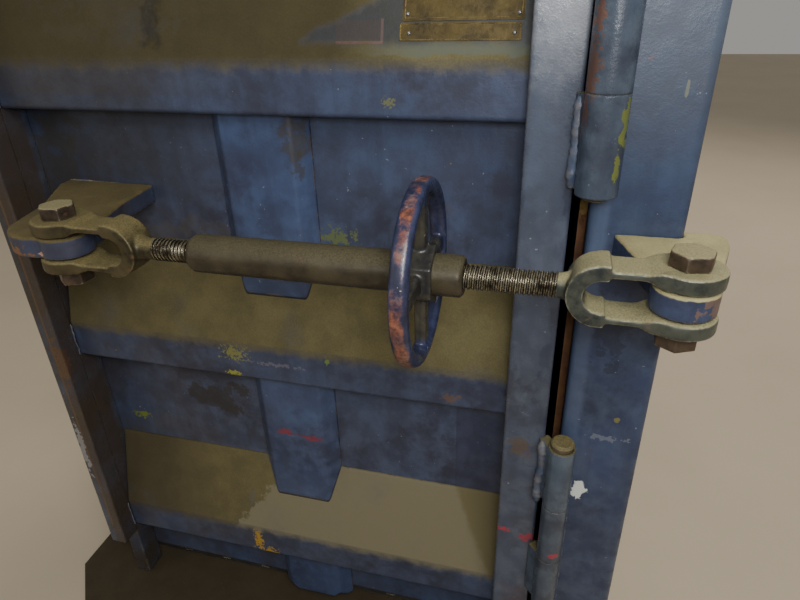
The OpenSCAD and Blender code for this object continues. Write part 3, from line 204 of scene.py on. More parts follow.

# %% [markdown]
# ## Worn blue enamel
#
# The machine is brushed with blue alkyd machinery enamel, a soft paint that is glossy when new.
# Years of paper dust and hydraulic oil have dulled it to slate, with a thin brown film in patches.
# Under it the blue still shows in cloudy patches. Film and dust are drawn darker low down and on
# the left, as painted shade where the light falls off. Small chips show older coats. The film is
# drawn over the paint, the wear over the film and the dust last, which is the order in which they
# came.

# %% Dust on enamel
LOW_RIB, RIB_PITCH = 0.424, 0.559


def spill_over(tree, place, ragged):
    """Dust spilled over each rib's fold: from 4 mm over it to 20 mm under, raggedly by 12 mm."""
    height = add(tree, "SeparateXYZ", {0: place}, "Z")
    height = add(tree, "Math", {0: height, 1: -LOW_RIB}, operation="ADD")
    height = add(tree, "Math", {0: height, 1: RIB_PITCH / 2, 2: -RIB_PITCH / 2}, operation="WRAP")
    height = add(tree, "Math", {0: ragged, 1: 0.012, 2: height}, operation="MULTIPLY_ADD")
    over = add(tree, "MapRange", {"Value": height, "From Min": -0.020, "From Max": 0.004,
                                  "To Max": 0.85}, **SOFT)
    below_slope = add(tree, "Math", {0: height, 1: 0.03}, operation="LESS_THAN")
    return add(tree, "Math", {0: over, 1: below_slope}, operation="MULTIPLY")


def wipe(tree, place, settled, wiped):
    """Takes dust off where it was wiped, down to the share that was kept there."""
    for mask, kept in wiped:
        share = add(tree, "Math", {0: mask(tree, place), 1: kept - 1.0, 2: 1.0},
                    operation="MULTIPLY_ADD")
        settled = add(tree, "Math", {0: settled, 1: share}, operation="MULTIPLY")
    return settled


def dust_and_painted_light(tree, place, tones, grit, left, dust_and_reflection_marks):
    """Two tones of dust in soft patches with some grit, browner to the lower left as painted shade,
    with its marks.
    """
    shade = blotches(tree, place, 60.0, 0.28, 0.72, detail=5.0)
    grain = add(tree, "Math", {0: grit, 1: 0.45}, operation="MULTIPLY")
    grain = add(tree, "Math", {0: shade, 1: 0.55, 2: grain}, operation="MULTIPLY_ADD")
    return coats(tree, place, tones[0], (grain, 1.0, tones[1]), (left, 0.35, "#3f3720"),
                 *dust_and_reflection_marks)


print("ribs fold at", [round(LOW_RIB + RIB_PITCH * rib, 3) for rib in range(3)], "m")

# %% The enamel's recipe
def enamel(name, deep, mid, light, dust=1.0, film=0.5, wear=1.0, rust=0.3, gloss=0.45,
           dust_tone=("#4d482f", "#6a6342"), specks=0.5, marks=(), cast=False, spill=False,
           wiped=(), dust_and_reflection_marks=()):
    """Blue machinery enamel, in coats from the paint outwards; marks are coats at one place."""
    material, tree, shader, place = finish(name)
    cloud = blotches(tree, place, 260.0, 0.36, 0.64)
    mottle = blotches(tree, place, 46.0, 0.36, 0.68, detail=6.0)
    grit = blotches(tree, place, 3.2, 0.25, 0.75)
    streak = blotches(tree, place, 30.0, 0.42, 0.70, stretch=(1.0, 1.0, 9.0))
    # painted shade: film and dust grow darker towards the lower left, where the light falls off
    left = step_across(tree, place, (-1.0, 0.0, -0.35), -800.0, 250.0)
    film_and_painted_shade = blotches(tree, place, 120.0, 0.30, 0.70)
    film_and_painted_shade = add(tree, "Math", {0: left, 1: film_and_painted_shade, 2: 0.35}, operation="MULTIPLY_ADD")
    film_and_painted_shade = add(tree, "Math", {0: film_and_painted_shade, 1: film}, operation="MULTIPLY", use_clamp=True)
    chip = blotches(tree, place, 26.0, 0.735, 0.755, detail=3.0)
    speck = blotches(tree, place, 9.0, 0.735, 0.76, detail=2.0)
    rounded, edge = rubbed(tree, place, 0.005, 40.0, 0.40, 0.7 * wear, cast)
    bloom = blotches(tree, place, 150.0, 0.63, 0.70, detail=8.0)
    bloom = add(tree, "Math", {0: bloom, 1: rust}, operation="MULTIPLY")
    older = coats(tree, place, "#5f3a30", (cloud, 1.0, "#6f6c4a"))
    bare = coats(tree, place, "#4a3f38", (grit, 1.0, "#7d7974"))
    rusty = coats(tree, place, "#43281b", (grit, 1.0, "#6b4228"))
    paint = coats(tree, place, deep,
                  (cloud, 1.0, mid), (mottle, 0.5, light), (streak, 0.35, deep),  # brushed paint
                  (film_and_painted_shade, 1.0, "#3b3429"),  # the brown film in patches, thicker to the lower left as painted shade
                  (chip, 1.0, older), (speck, specks, "#8f93a0"),  # chips and dried splashes
                  (edge, 1.0, bare), (bloom, 1.0, rusty),  # rubbed edges and blooms of rust
                  *marks)
    settled = dust_on(tree, place, 0.05, 0.26, 170.0, (0.22, 0.46), 0.72, dust,
                      spill_over(tree, place, mottle) if spill else None)
    settled = wipe(tree, place, settled, wiped)
    powder = dust_and_painted_light(tree, place, dust_tone, grit, left, dust_and_reflection_marks)
    dull = add(tree, "Math", {0: settled, 1: bloom}, operation="MAXIMUM")
    sheen = add(tree, "MapRange", {"Value": mottle, "To Min": gloss + 0.14, "To Max": gloss - 0.06})
    height = add(tree, "Math", {0: grit, 1: 0.35, 2: mottle}, operation="MULTIPLY_ADD")
    feed(shader, {
        "Base Color": coats(tree, place, paint, (settled, 1.0, powder)),
        "Roughness": add(tree, "Mix", {0: dull, 2: sheen, 3: 0.93}),
        "Normal": add(tree, "Bump", {"Strength": 0.25, "Distance": 0.0011, "Height": height,
                                     "Normal": rounded})})
    return material


print("enamel recipe ready")

# %% [markdown]
# ## The door's own marks
#
# The door has its own history: someone wiped the upper slope by hand beside the two plates, an old
# label has come off and left its outline, paint of other colours was splashed on, and rust has
# started beside a weld. Each mark is a blob, a box or a region beyond some lines, at its true place
# on the door, in millimetres, and its rim is torn by noise so that it looks splashed and not drawn.
# The same place can be asked for before any material exists, because each of these three returns a
# function that draws the mask later, in the tree of the material that wears it.

# %% Three shapes of mark
RIM = 0.07  # half the width of a blob's torn rim, as a share of its reach


def blob(middle, reach, ragged=0.5, grain=14.0):
    """1 inside a blob about its middle (mm) with a reach each way (mm) and a torn rim."""
    def draw(tree, place):
        away = add(tree, "VectorMath", {0: place, 1: tuple(m / 1000 for m in middle)},
                   operation="SUBTRACT")
        away = add(tree, "VectorMath", {0: away, 1: tuple(1000.0 / r for r in reach)},
                   operation="MULTIPLY")
        length = add(tree, "VectorMath", {0: away}, "Value", operation="LENGTH")
        torn = blotches(tree, place, grain, 0.3, 0.7)
        rim = add(tree, "Math", {0: torn, 1: -2.0 * ragged, 2: length}, operation="MULTIPLY_ADD")
        edge = 1.0 - ragged
        return add(tree, "MapRange", {"Value": rim, "From Min": edge + RIM,
                                      "From Max": edge - RIM}, **SOFT)
    return draw


def within(low, high, soft=2.0):
    """1 inside a box from low to high (mm), fading over soft millimetres."""
    def draw(tree, place):
        middle = tuple((a + b) / 2000 for a, b in zip(low, high))
        half = tuple((b - a) / 2000 for a, b in zip(low, high))
        away = add(tree, "VectorMath", {0: place, 1: middle}, operation="SUBTRACT")
        away = add(tree, "VectorMath", {0: away}, operation="ABSOLUTE")
        past = add(tree, "VectorMath", {0: away, 1: half}, operation="SUBTRACT")
        x, y, z = add(tree, "SeparateXYZ", {0: past}).node.outputs
        most = add(tree, "Math", {0: x, 1: y}, operation="MAXIMUM")
        most = add(tree, "Math", {0: most, 1: z}, operation="MAXIMUM")
        return add(tree, "MapRange", {"Value": most, "From Min": soft / 1000, "From Max": 0.0},
                   **SOFT)
    return draw


def beyond(*lines, torn=8.0):
    """1 beyond every one of some soft lines, each (direction, start, end), torn by torn mm."""
    def draw(tree, place):
        wave = blotches(tree, place, 22.0, 0.25, 0.75, detail=6.0)
        share = None
        for along, start, end in lines:
            far = add(tree, "VectorMath", {0: place, 1: along}, "Value", operation="DOT_PRODUCT")
            far = add(tree, "Math", {0: wave, 1: torn / 1000, 2: far}, operation="MULTIPLY_ADD")
            past = add(tree, "MapRange", {"Value": far, "From Min": (start + torn / 2) / 1000,
                                          "From Max": (end + torn / 2) / 1000}, **SOFT)
            share = add(tree, "Math", {0: share, 1: past}, operation="MULTIPLY") if share else past
        return share
    return draw


print("marks can be a blob, a box or a region beyond lines")

# %% Wiped places and dust on the door
UP, DOWNWARD = (0.0, 0.0, 1.0), (0.0, 0.0, -1.0)
TO_RIGHT, TO_LEFT = (1.0, 0.0, 0.0), (-1.0, 0.0, 0.0)
WIPE_EDGE = ((0.383, 0.0, -0.923), -1413.0, -1399.0)
BELOW_RIB = (DOWNWARD, -640.0, -628.0)
WIPED = [  # where dust is thinner, and the share that is left of it
    (beyond(WIPE_EDGE, (UP, 1556.0, 1572.0), (TO_RIGHT, 108.0, 124.0)), 0.16),
    (blob((-260, -350, 1640), (120, 60, 60), 0.7, 40.0), 0.92),
    (blob((-140, -345, 500), (5, 30, 22), 0.8), 0.8),
]
DUST_AND_REFLECTION_MARKS = [  # dust of another colour: darker and oily on the left up top, paler where it is fresh, and a painted reflection on the lowest slope
    (beyond((UP, 1500.0, 1552.0), (TO_LEFT, -330.0, -160.0)), 0.75, "#2b2510"),
    (beyond((TO_RIGHT, -180.0, -160.0), (TO_LEFT, 136.0, 156.0), (UP, 1552.0, 1580.0), torn=26.0),
     0.7, "#1b1a13"),
    # painted reflection over paler dust: a bright sheet on the lowest slope, right of a ragged line
    (beyond(((0.765, 0.0, -0.643), -417.0, -408.0), BELOW_RIB, torn=30.0), 1.0, "#6b6651"),
    # the lowest slope, darker towards its left
    (beyond((TO_LEFT, 200.0, 430.0), BELOW_RIB), 0.6, "#2b2417"),
    # the lowest slope, darker beyond a straight line on its right
    (beyond(((0.917, 0.0, 0.398), 583.0, 599.0), BELOW_RIB), 0.8, "#5b5438"),
    (beyond((TO_RIGHT, 180.0, 330.0), (UP, 1545.0, 1550.0), (DOWNWARD, -1572.0, -1560.0)),
     1.0, "#585c4e"),
]
print("wiped places:", len(WIPED), "dust marks:", len(DUST_AND_REFLECTION_MARKS))

# %% Splashes, grease and stains on the door
STRAP_MARKS = [  # wine red splashes, and grease
    (blob((-27, -340, 731), (18, 16, 8), 0.5, 8.0), 0.8, "#742a38"),
    (blob((45, -340, 723), (21, 16, 7), 0.5, 8.0), 0.8, "#742a38"),
    (blob((12, -340, 728), (34, 16, 1.6), 0.3), 0.7, "#5c2735"),
    (blob((71, -318, 1408), (18, 40, 44), 0.7, 20.0), 0.5, "#38331f"),
    (blob((73, -318, 1360), (8, 40, 26), 0.7, 16.0), 0.5, "#38331f"),
]
DOOR_MARKS = [
    # The lower right corner of the lower bay, darker in a box with a straight left edge
    (within((371.5, -332, 560), (480, -300, 900), 1.0), 0.5, "#20243c"),
    # Olive and ochre splashes on the ribs and the panel
    (blob((-102, -369, 955), (22, 22, 15), 1.1, 8.0), 0.85, "#73733a"),
    (blob((-111, -369, 902), (13, 22, 6), 0.75, 6.0), 1.0, "#7f8030"),
    (blob((-10, -369, 938), (52, 22, 3.5), 1.0, 6.0), 0.4, "#77707c"),
    (blob((111, -369, 963), (4, 22, 8), 0.6, 7.0), 1.0, "#587338"),
    (blob((371, -369, 914), (17, 22, 9), 0.6), 0.6, "#5f4630"),
    (blob((-129, -369, 383), (9, 22, 29), 0.85, 6.0), 1.0, "#97782b"),
    (blob((-103, -369, 338), (27, 22, 12), 0.9, 6.0), 1.0, "#94782e"),
    (blob((130, -311, 1214), (30, 14, 15), 1.15, 9.0), 0.8, "#566032"),
    (blob((259, -369, 1478), (9, 22, 6), 1.1, 5.0), 0.6, "#6a6c38"),
    (blob((-441, -311, 685), (20, 14, 9), 0.85, 8.0), 1.0, "#5e6a27"),
    # Grease, soot and the darker wiped patch beside the plates
    (blob((-207, -311, 781), (76, 14, 42), 0.6, 40.0), 0.75, "#272524"),
    (blob((-470, -311, 1250), (52, 30, 190), 0.9, 40.0), 0.5, "#38321f"),
    (within((-430, -330, 1330), (-230, -300, 1480), 120.0), 0.45, "#24231f"),
    (beyond((TO_LEFT, -120.0, 330.0), (UP, 1478.0, 1486.0)), 0.35, "#38332c"),
    (beyond(WIPE_EDGE, (UP, 1550.0, 1568.0), (TO_RIGHT, 108.0, 124.0)), 0.8, "#1a2021"),
    (blob((-280, -311, 1200), (150, 14, 26), 0.8, 40.0), 0.3, "#453f30"),
    # What the label left: a brown field with a paler line of glue under it and beside it
    (within((176, -440, 1567), (249, -300, 1596), 1.5), 0.35, "#3c2a28"),
    (within((176, -440, 1564), (251, -300, 1567), 1.2), 0.45, "#83504f"),
    (within((249, -440, 1566), (252, -300, 1598), 1.2), 0.35, "#7c5a58"),
]
print("marks on the straps:", len(STRAP_MARKS), "on the door:", len(DOOR_MARKS))

# %% Enamel for the door and its straps
# Brushed by hand: cloudy, with soft upright streaks, half matt under film and dust
door_enamel = enamel("brushed blue enamel of the door", "#23293f", "#323f5c", "#4b5b7c",
                     gloss=0.42, film=0.4, rust=0.2, marks=DOOR_MARKS, spill=True, wiped=WIPED,
                     dust_and_reflection_marks=DUST_AND_REFLECTION_MARKS)
# The same paint where sleeves brush past: bluer and a little glossier
strap_enamel = enamel("blue enamel of the straps, wiped by sleeves", "#262f4c", "#36476b",
                      "#4c6189", marks=STRAP_MARKS, gloss=0.40, film=0.3, rust=0.15)
print("door enamel nodes:", len(door_enamel.node_tree.nodes))

# %% [markdown]
# ## The same enamel elsewhere
#
# Every painted piece had the same tin of paint but a different life. The stiles and the latch plate
# are rubbed by hands and bales, the hinge barrels shine where they turn, the deck is trodden with
# oily dirt, and the body high up keeps more of its blue.

# %% Marks on the lugs, stiles, latch plate and hinge barrels
LEFT_LUG_MARKS = [  # rust, and bare spots on its upper face
    (blob((-322, -590, 1268), (40, 40, 12), 0.8, 14.0), 0.8, "#7a5432"),
    (blob((-300, -655, 1298), (34, 26, 4), 0.9, 9.0), 1.0, "#a98a72"),
    (blob((-262, -640, 1272), (10, 30, 5), 0.6, 9.0), 1.0, "#b0897a"),
]
RIGHT_LUG_MARKS = [  # rust round the bolt
    (blob((742, -600, 1280), (20, 40, 30), 0.8, 16.0), 0.7, "#6b5546"),
    (blob((716, -648, 1284), (7, 20, 6), 0.6, 8.0), 1.0, "#99684a"),
]
STILE_MARKS_AND_HIGHLIGHT = [  # red splashes, grease, a paler rubbed streak, a painted highlight on the upper end, a rusty left edge
    (blob((492, -420, 638), (11, 14, 5), 0.6, 8.0), 1.0, "#8f2b3e"),
    (blob((541, -420, 627), (12, 14, 10), 0.75, 8.0), 1.0, "#7f2b3e"),
    (blob((511, -420, 866), (17, 14, 22), 0.6, 20.0), 0.7, "#4e4236"),
    (blob((512, -420, 1330), (34, 14, 330), 0.3, 60.0), 0.12, "#6f7b8c"),
    # painted highlight: a pale glare over the right stile's upper end
    (beyond((UP, 1480.0, 1640.0), (TO_RIGHT, 440.0, 500.0), torn=40.0), 0.5, "#a3a7ac"),
    (within((-534.5, -430, 380), (-531.5, -400, 1500), 1.2), 0.8, "#6e5238"),
    (within((-532, -440, 300), (-505, -330, 1500), 6.0), 0.55, "#3f3328"),
    (blob((-545, -420, 640), (8, 14, 70), 0.7, 14.0), 0.7, "#8a8a8c"),
    (blob((-520, -420, 900), (16, 14, 60), 0.7, 20.0), 0.6, "#5a3f26"),
]
LATCH_MARKS_AND_REFLECTION = [  # a pale splash, scratches, a painted reflection on the upper end, and a rubbed edge
    (blob((627, -410, 769), (14, 14, 22), 0.35, 16.0), 1.0, "#cdd2cf"),
    (blob((668, -410, 905), (26, 14, 5), 0.9, 9.0), 0.6, "#6a6f7c"),
    (blob((676, -410, 950), (5, 14, 5), 0.5), 0.8, "#6f6a3c"),
    # painted reflection: the plate's upper end drawn paler
    (beyond((UP, 1330.0, 1640.0)), 0.45, "#5f6a78"),
    (blob((688, -410, 1512), (2.5, 14, 12), 0.3), 0.5, "#7f8264"),
    (blob((640, -410, 1130), (22, 14, 60), 0.8, 26.0), 0.5, "#1f2534"),
    (within((583, -430, 300), (606, -390, 1370), 12.0), 0.3, "#5a6a86"),
]
BARREL_MARKS = [  # rust on the left, moss green runs on the right, and a red splash
    (blob((565, -462, 1604), (9, 26, 16), 0.7, 9.0), 0.65, "#6c4630"),
    (blob((562, -460, 1540), (9, 26, 36), 0.75, 9.0), 0.6, "#5f4029"),
    (blob((558, -456, 1500), (5, 20, 34), 0.6, 9.0), 0.6, "#5b3d2a"),
    (blob((611, -458, 1466), (6, 20, 26), 0.7, 14.0), 0.9, "#626a30"),
    (blob((608, -458, 1422), (4, 20, 24), 0.6, 14.0), 0.9, "#626a30"),
    (blob((597, -469, 642), (13, 14, 5), 0.7, 8.0), 1.0, "#8f2b3e"),
]
print("marks:", [len(m) for m in (LEFT_LUG_MARKS, RIGHT_LUG_MARKS, STILE_MARKS_AND_HIGHLIGHT, LATCH_MARKS_AND_REFLECTION,
                                 BARREL_MARKS)])

# %% Enamel for the lugs, stiles, latch, barrels, body and deck
# Rubbed by hands and bales until it is smooth: glossier, with many bare edges
stile_enamel = enamel("rubbed blue enamel of the stiles, with a painted highlight", "#2a3245", "#3c4963", "#586579",
                      film=0.7, wear=1.6, rust=0.25, gloss=0.25, marks=STILE_MARKS_AND_HIGHLIGHT, specks=0.7)
# Brushed, and wiped in use, so bluer than the door
latch_enamel = enamel("blue enamel of the latch plate", "#212b45", "#2f3e60", "#475872",
                      film=0.3, wear=1.4, rust=0.15, gloss=0.36, marks=LATCH_MARKS_AND_REFLECTION)
# Brushed over flame-cut plate: its rounded edges are bare, and dust lies thick on top
left_lug_enamel = enamel("blue enamel of the door lug", "#22283f", "#2f3c60", "#475674",
                         film=0.6, wear=1.2, rust=0.5, gloss=0.4, marks=LEFT_LUG_MARKS, cast=True,
                         dust_tone=("#453c20", "#6b6039"), dust=1.1)
right_lug_enamel = enamel("blue enamel of the latch lug", "#222a44", "#2f3e66", "#475878",
                          film=0.35, wear=1.2, rust=0.6, gloss=0.4, marks=RIGHT_LUG_MARKS,
                          cast=True, dust_tone=("#857e58", "#aea67a"), dust=1.3)
# Brushed over pipe: polished by its own turning, so it draws a bright line
knuckle_enamel = enamel("blue enamel of the hinge barrels, rubbed bright", "#272f40", "#3b4a5c",
                        "#5c6b7b", film=0.4, wear=1.3, rust=0.3, gloss=0.24, marks=BARREL_MARKS)
# Brushed, but out of reach: its blue is kept under a thin even dust
body_enamel = enamel("blue enamel of the body", "#252e46", "#34425f", "#4a5b7a", film=0.4,
                     rust=0.45, dust=0.8, dust_tone=("#45422f", "#5f5a43"))
# Brushed, then trodden with oil and dirt: nearly black and matt
base_enamel = enamel("deck enamel under trodden dirt", "#1b1c22", "#23242c", "#31343f", dust=1.2,
                     film=1.2, rust=0.8, gloss=0.6, dust_tone=("#241d13", "#3b3122"))
# Sprayed at the factory, so it is even, with few splashes
grey_enamel = enamel("grey-blue enamel of the power unit", "#2f3a44", "#44525e", "#5b6a76",
                     film=0.5, rust=0.25, specks=0.2)
# Powder melted on in an oven: hard, matt and hardly worn
powder_coat = enamel("dark grey powder coat of the control box", "#25282c", "#32363b", "#474c52",
                     film=0.35, rust=0.08, gloss=0.55, wear=0.5, specks=0.1)
print("enamels:", [m.name for m in bpy.data.materials if "enamel" in m.name])

# %% [markdown]
# ## Bare steel, oiled and dusty
#
# The clevises, bolts, sleeve and pins were never painted. They are hot-rolled and forged steel
# that oil has kept from rusting away: dark brown in the hollows, grey where hands and tools rub,
# with rust freckles and olive dust baked into the oil on top. Bare metal counts as metal only
# where it is clean, so the metallic value falls where rust or dust lies on it.

# %% The bare steel's recipe
def bare_metal(name, dark, mid, bright, metal=0.6, gloss=0.42, dust=0.8, rust=0.35, wear=1.0,
               dust_tone=("#4b4329", "#7a7146"), facing=(0.15, 0.75), size=30.0, radius=0.003,
               dent=0.0007, marks=(), cast=False):
    """Steel without paint: stains, freckles of rust, bright edges, and dust where it faces up."""
    material, tree, shader, place = finish(name)
    cloud = blotches(tree, place, size * 2.2, 0.36, 0.64)
    mottle = blotches(tree, place, size * 0.5, 0.34, 0.66, detail=6.0)
    grit = blotches(tree, place, 2.4, 0.28, 0.72)
    freckle = blotches(tree, place, size * 0.8, 0.60, 0.68, detail=8.0)
    freckle = add(tree, "Math", {0: freckle, 1: rust}, operation="MULTIPLY")
    rusty = coats(tree, place, "#3c2519", (grit, 1.0, "#74472b"))
    rounded, edge = rubbed(tree, place, radius, 24.0, 0.36, 0.8 * wear, cast)
    base = coats(tree, place, dark, (cloud, 1.0, mid), (mottle, 0.55, mid), (freckle, 1.0, rusty),
                 (edge, 1.0, bright), *marks)
    settled = dust_on(tree, place, *facing, 55.0, (0.24, 0.50), 0.6, dust)
    powder = coats(tree, place, dust_tone[0], (grit, 1.0, dust_tone[1]))
    covered = add(tree, "Math", {0: settled, 1: freckle}, operation="MAXIMUM")
    sheen = add(tree, "MapRange", {"Value": mottle, "To Min": gloss + 0.12, "To Max": gloss - 0.08})
    height = add(tree, "Math", {0: grit, 1: 0.3, 2: mottle}, operation="MULTIPLY_ADD")
    feed(shader, {
        "Base Color": coats(tree, place, base, (settled, 1.0, powder)),
        "Metallic": add(tree, "MapRange", {"Value": covered, "To Min": metal, "To Max": 0.0}),
        "Roughness": add(tree, "Mix", {0: covered, 2: sheen, 3: 0.92}),
        "Normal": add(tree, "Bump", {"Strength": 0.3, "Distance": dent, "Height": height,
                                     "Normal": rounded})})
    return material


print("bare metal recipe ready")

# %% [markdown]
# ## One steel for each job
#
# The same recipe gives each piece its own look: the forged clevis heads are olive-brown, the rolled
# threads are dark between bright crests, the pipe of the sleeve is almost black under olive dust,
# and the jamb bar has simply rusted.

# %% Steels of the turnbuckle and its pins
# Drop forged: a dull scale with no crisp edge, under olive dust
left_forging = bare_metal("forged steel, dusty olive", "#2a2619", "#534b34", "#9d946c", metal=0.4,
                          gloss=0.42, dust=0.9, dust_tone=("#524a2b", "#7d7349"),
                          facing=(0.15, 0.9), size=24.0, cast=True)
# The same forging, but gripped each day: greyer and brighter on its ridges
right_forging = bare_metal("forged steel, oiled and handled", "#262d2d", "#545850", "#c2bfa6",
                           metal=0.5, gloss=0.36, dust=0.95, dust_tone=("#757050", "#97916c"),
                           facing=(0.3, 0.85), size=24.0, wear=1.5, cast=True)
# Rolled between dies: smooth crests that shine, and oily black between them
thread_steel = bare_metal("rolled thread steel, oiled", "#1c1812", "#423b2c", "#cfc8b0", metal=0.8,
                          gloss=0.28, dust=0.4, dust_tone=("#4f4529", "#6f6541"), rust=0.2,
                          facing=(0.55, 0.98), wear=1.5, radius=0.0012)
# Hot headed: bronze from oil, with wrench-rubbed corners
bolt_steel = bare_metal("bolt steel, bronzed by oil", "#322b26", "#594c3f", "#b5a98d", metal=0.5,
                        gloss=0.36, dust=0.85, dust_tone=("#79724f", "#9b946e"),
                        facing=(0.6, 0.95), size=20.0, cast=True)
# Welded pipe: nearly black under a skin of dusty oil
sleeve_steel = bare_metal("pipe steel of the sleeve", "#28241b", "#464031", "#918c76", metal=0.3,
                          gloss=0.34, dust=0.85, dust_tone=("#34301e", "#4f4a31"), rust=0.15,
                          facing=(0.1, 0.8), size=40.0)
# Turned from bar: a grey sheen between dusty patches
pin_steel = bare_metal("turned pin steel, dusty", "#39342a", "#5e5846", "#a8a28c", metal=0.5,
                       dust=0.9)
print("materials so far:", len(bpy.data.materials))

# %% Steels of the frame, the press and the fittings
# Hot rolled and left bare: brown rust, matt and hardly metallic
rust_bar = bare_metal("hot-rolled bar, rusted", "#5a3a2a", "#87603f", "#ab8a60", metal=0.1,
                      gloss=0.7, rust=0.9, dust=0.6,
                      marks=[(blob((574, -300, 1310), (20, 40, 16), 0.6, 12.0), 1.0, "#a58a52")])
# Hot rolled, then scoured by bales into wide grey patches
floor_steel = bare_metal("chamber floor plate, scoured by bales", "#2c2b2a", "#55534f", "#a5a39c",
                         metal=0.55, dust=0.5, size=120.0)
# Milled and oiled: light grey, clean and bright
machined_steel = bare_metal("machined steel, lightly oiled", "#6b6d70", "#8d8f92", "#c9cbcd",
                            metal=0.9, gloss=0.3, dust=0.35, rust=0.08, size=60.0)
# Electroplated with zinc: a cool, slightly milky grey
zinc_pipe = bare_metal("zinc-plated pipe", "#7a7d80", "#9a9da0", "#c4c6c8", metal=0.9, gloss=0.34,
                       dust=0.4, rust=0.1, size=50.0)
# Ground and plated with hard chrome: a clear mirror
rod_chrome = bare_metal("hard chrome on the piston rod", "#a9abae", "#b8babd", "#dcdddf",
                        metal=1.0, gloss=0.12, dust=0.05, rust=0.0, size=90.0, dent=0.0001)
# Rolled and punched brass that nobody polishes: brown tarnish, with yellow left on its rim
brass = bare_metal("rolled brass, tarnished", "#2f2713", "#54471f", "#a8935a", metal=0.5,
                   gloss=0.5, dust=0.4, dust_tone=("#3d3518", "#5c5127"), rust=0.35,
                   facing=(0.1, 0.5), size=26.0, radius=0.0012)
# Hand-laid and painted over: blue between ripples that are rubbed pale
weld_coat = bare_metal("weld bead, painted and rubbed pale", "#28344c", "#44526a", "#87817a",
                       metal=0.15, gloss=0.42, dust=0.5, rust=0.3, size=16.0, radius=0.0015,
                       wear=0.55, cast=True)
print("steels and coats ready:", len(bpy.data.materials))

# %% [markdown]
# ## The hand wheel's paint
#
# Hands have turned this wheel for years. Its tread, the outward-facing band that palms push on, is
# worn through the blue to the red oxide primer and here and there to steel, and it is glossy with
# skin oil. The sides stay blue, and the hub and the spokes are dark under oily dust. The material
# knows the tread by how far the surface's direction points away from the wheel's axle, and the
# rim and the hub by how far they are from it.

# %% The hand wheel's material
LINK_Y, LINK_Z = -570.0, 1282.0
WHEEL_MIDDLE = (0.358, LINK_Y / 1000, LINK_Z / 1000)
SPOKE_END, RIM_INSIDE, TREAD_START = 0.100, 0.108, 0.112  # metres from the wheel's axle


def wheel_paint(name):
    """Blue over red oxide primer, worn through on the tread and blue on the sides."""
    material, tree, shader, place = finish(name)
    normal = add(tree, "NewGeometry", {}, "Normal")
    away = add(tree, "VectorMath", {0: place, 1: WHEEL_MIDDLE}, operation="SUBTRACT")
    flat = add(tree, "VectorMath", {0: away, 1: (0.0, 1.0, 1.0)}, operation="MULTIPLY")
    reach = add(tree, "VectorMath", {0: flat}, "Value", operation="LENGTH")
    outward = add(tree, "VectorMath", {0: flat}, operation="NORMALIZE")
    facing = add(tree, "VectorMath", {0: outward, 1: normal}, "Value", operation="DOT_PRODUCT")
    inner = add(tree, "MapRange", {"Value": reach, "From Min": SPOKE_END, "From Max": RIM_INSIDE})
    on_rim = add(tree, "MapRange", {"Value": reach, "From Min": RIM_INSIDE,
                                    "From Max": TREAD_START})
    grain = blotches(tree, place, 30.0, 0.3, 0.7, detail=6.0)
    fine = blotches(tree, place, 7.0, 0.35, 0.65, detail=5.0)
    salmon = blotches(tree, place, 45.0, 0.50, 0.66)
    lower = step_across(tree, place, DOWNWARD, -LINK_Z - 70.0, -LINK_Z + 30.0)
    torn = add(tree, "Math", {0: grain, 1: 0.5, 2: facing}, operation="MULTIPLY_ADD")
    torn = add(tree, "Math", {0: lower, 1: 0.18, 2: torn}, operation="MULTIPLY_ADD")
    tread = add(tree, "MapRange", {"Value": torn, "From Min": 1.16, "From Max": 1.40})
    tread = add(tree, "Math", {0: tread, 1: on_rim}, operation="MULTIPLY")
    glint = blotches(tree, place, 16.0, 0.66, 0.70, detail=7.0)
    glint = add(tree, "Math", {0: glint, 1: tread}, operation="MULTIPLY")
    fleck = blotches(tree, place, 11.0, 0.68, 0.71, detail=4.0)
    blue = coats(tree, place, "#1b1d30", (grain, 1.0, "#343a58"))
    primer = coats(tree, place, "#4d302b", (fine, 1.0, "#80503f"), (salmon, 1.0, "#7c6158"))
    feed(shader, {
        "Base Color": coats(tree, place, "#191a1e", (grain, 1.0, "#3b3930"), (inner, 1.0, blue),
                            (tread, 1.0, primer), (glint, 1.0, "#c3bdb4"), (fleck, 1.0, "#9a8f7c")),
        "Metallic": add(tree, "Math", {0: glint, 1: 0.8}, operation="MULTIPLY"),
        "Roughness": add(tree, "MapRange", {"Value": grain, "To Min": 0.42, "To Max": 0.22}),
        "Normal": add(tree, "Bump", {"Strength": 0.35, "Distance": 0.0012, "Height": grain})})
    return material


# Brushed over dipped primer: blue, red oxide and steel show in turn
hand_wheel_paint = wheel_paint("blue enamel worn to red oxide primer")
print("wheel paint nodes:", len(hand_wheel_paint.node_tree.nodes))

# %% [markdown]
# ## Moulded plastics
#
# The push buttons, the stop mushroom, the disconnect's handle and the filler cap are moulded: even
# in colour all through, with a soft gloss and a fine grain, and greasy in patches. The mould's
# grain is far finer than the picture can show, so it is drawn at nearly a millimetre.

# %% Plastics
def moulded(name, colour, dirt, rough):
    """A moulded plastic: one colour all through, with grime in patches and a fine grain."""
    material, tree, shader, place = finish(name)
    grime = blotches(tree, place, 22.0, 0.50, 0.75, detail=6.0)
    grain = blotches(tree, place, 0.9, 0.3, 0.7)
    feed(shader, {
        "Base Color": coats(tree, place, colour, (grime, 1.0, dirt)),
        "Roughness": add(tree, "MapRange", {"Value": grime, "To Min": rough,
                                            "To Max": rough + 0.3}),
        "Normal": add(tree, "Bump", {"Strength": 0.2, "Distance": 0.0002, "Height": grain}),
        "IOR": 1.49})
    return material


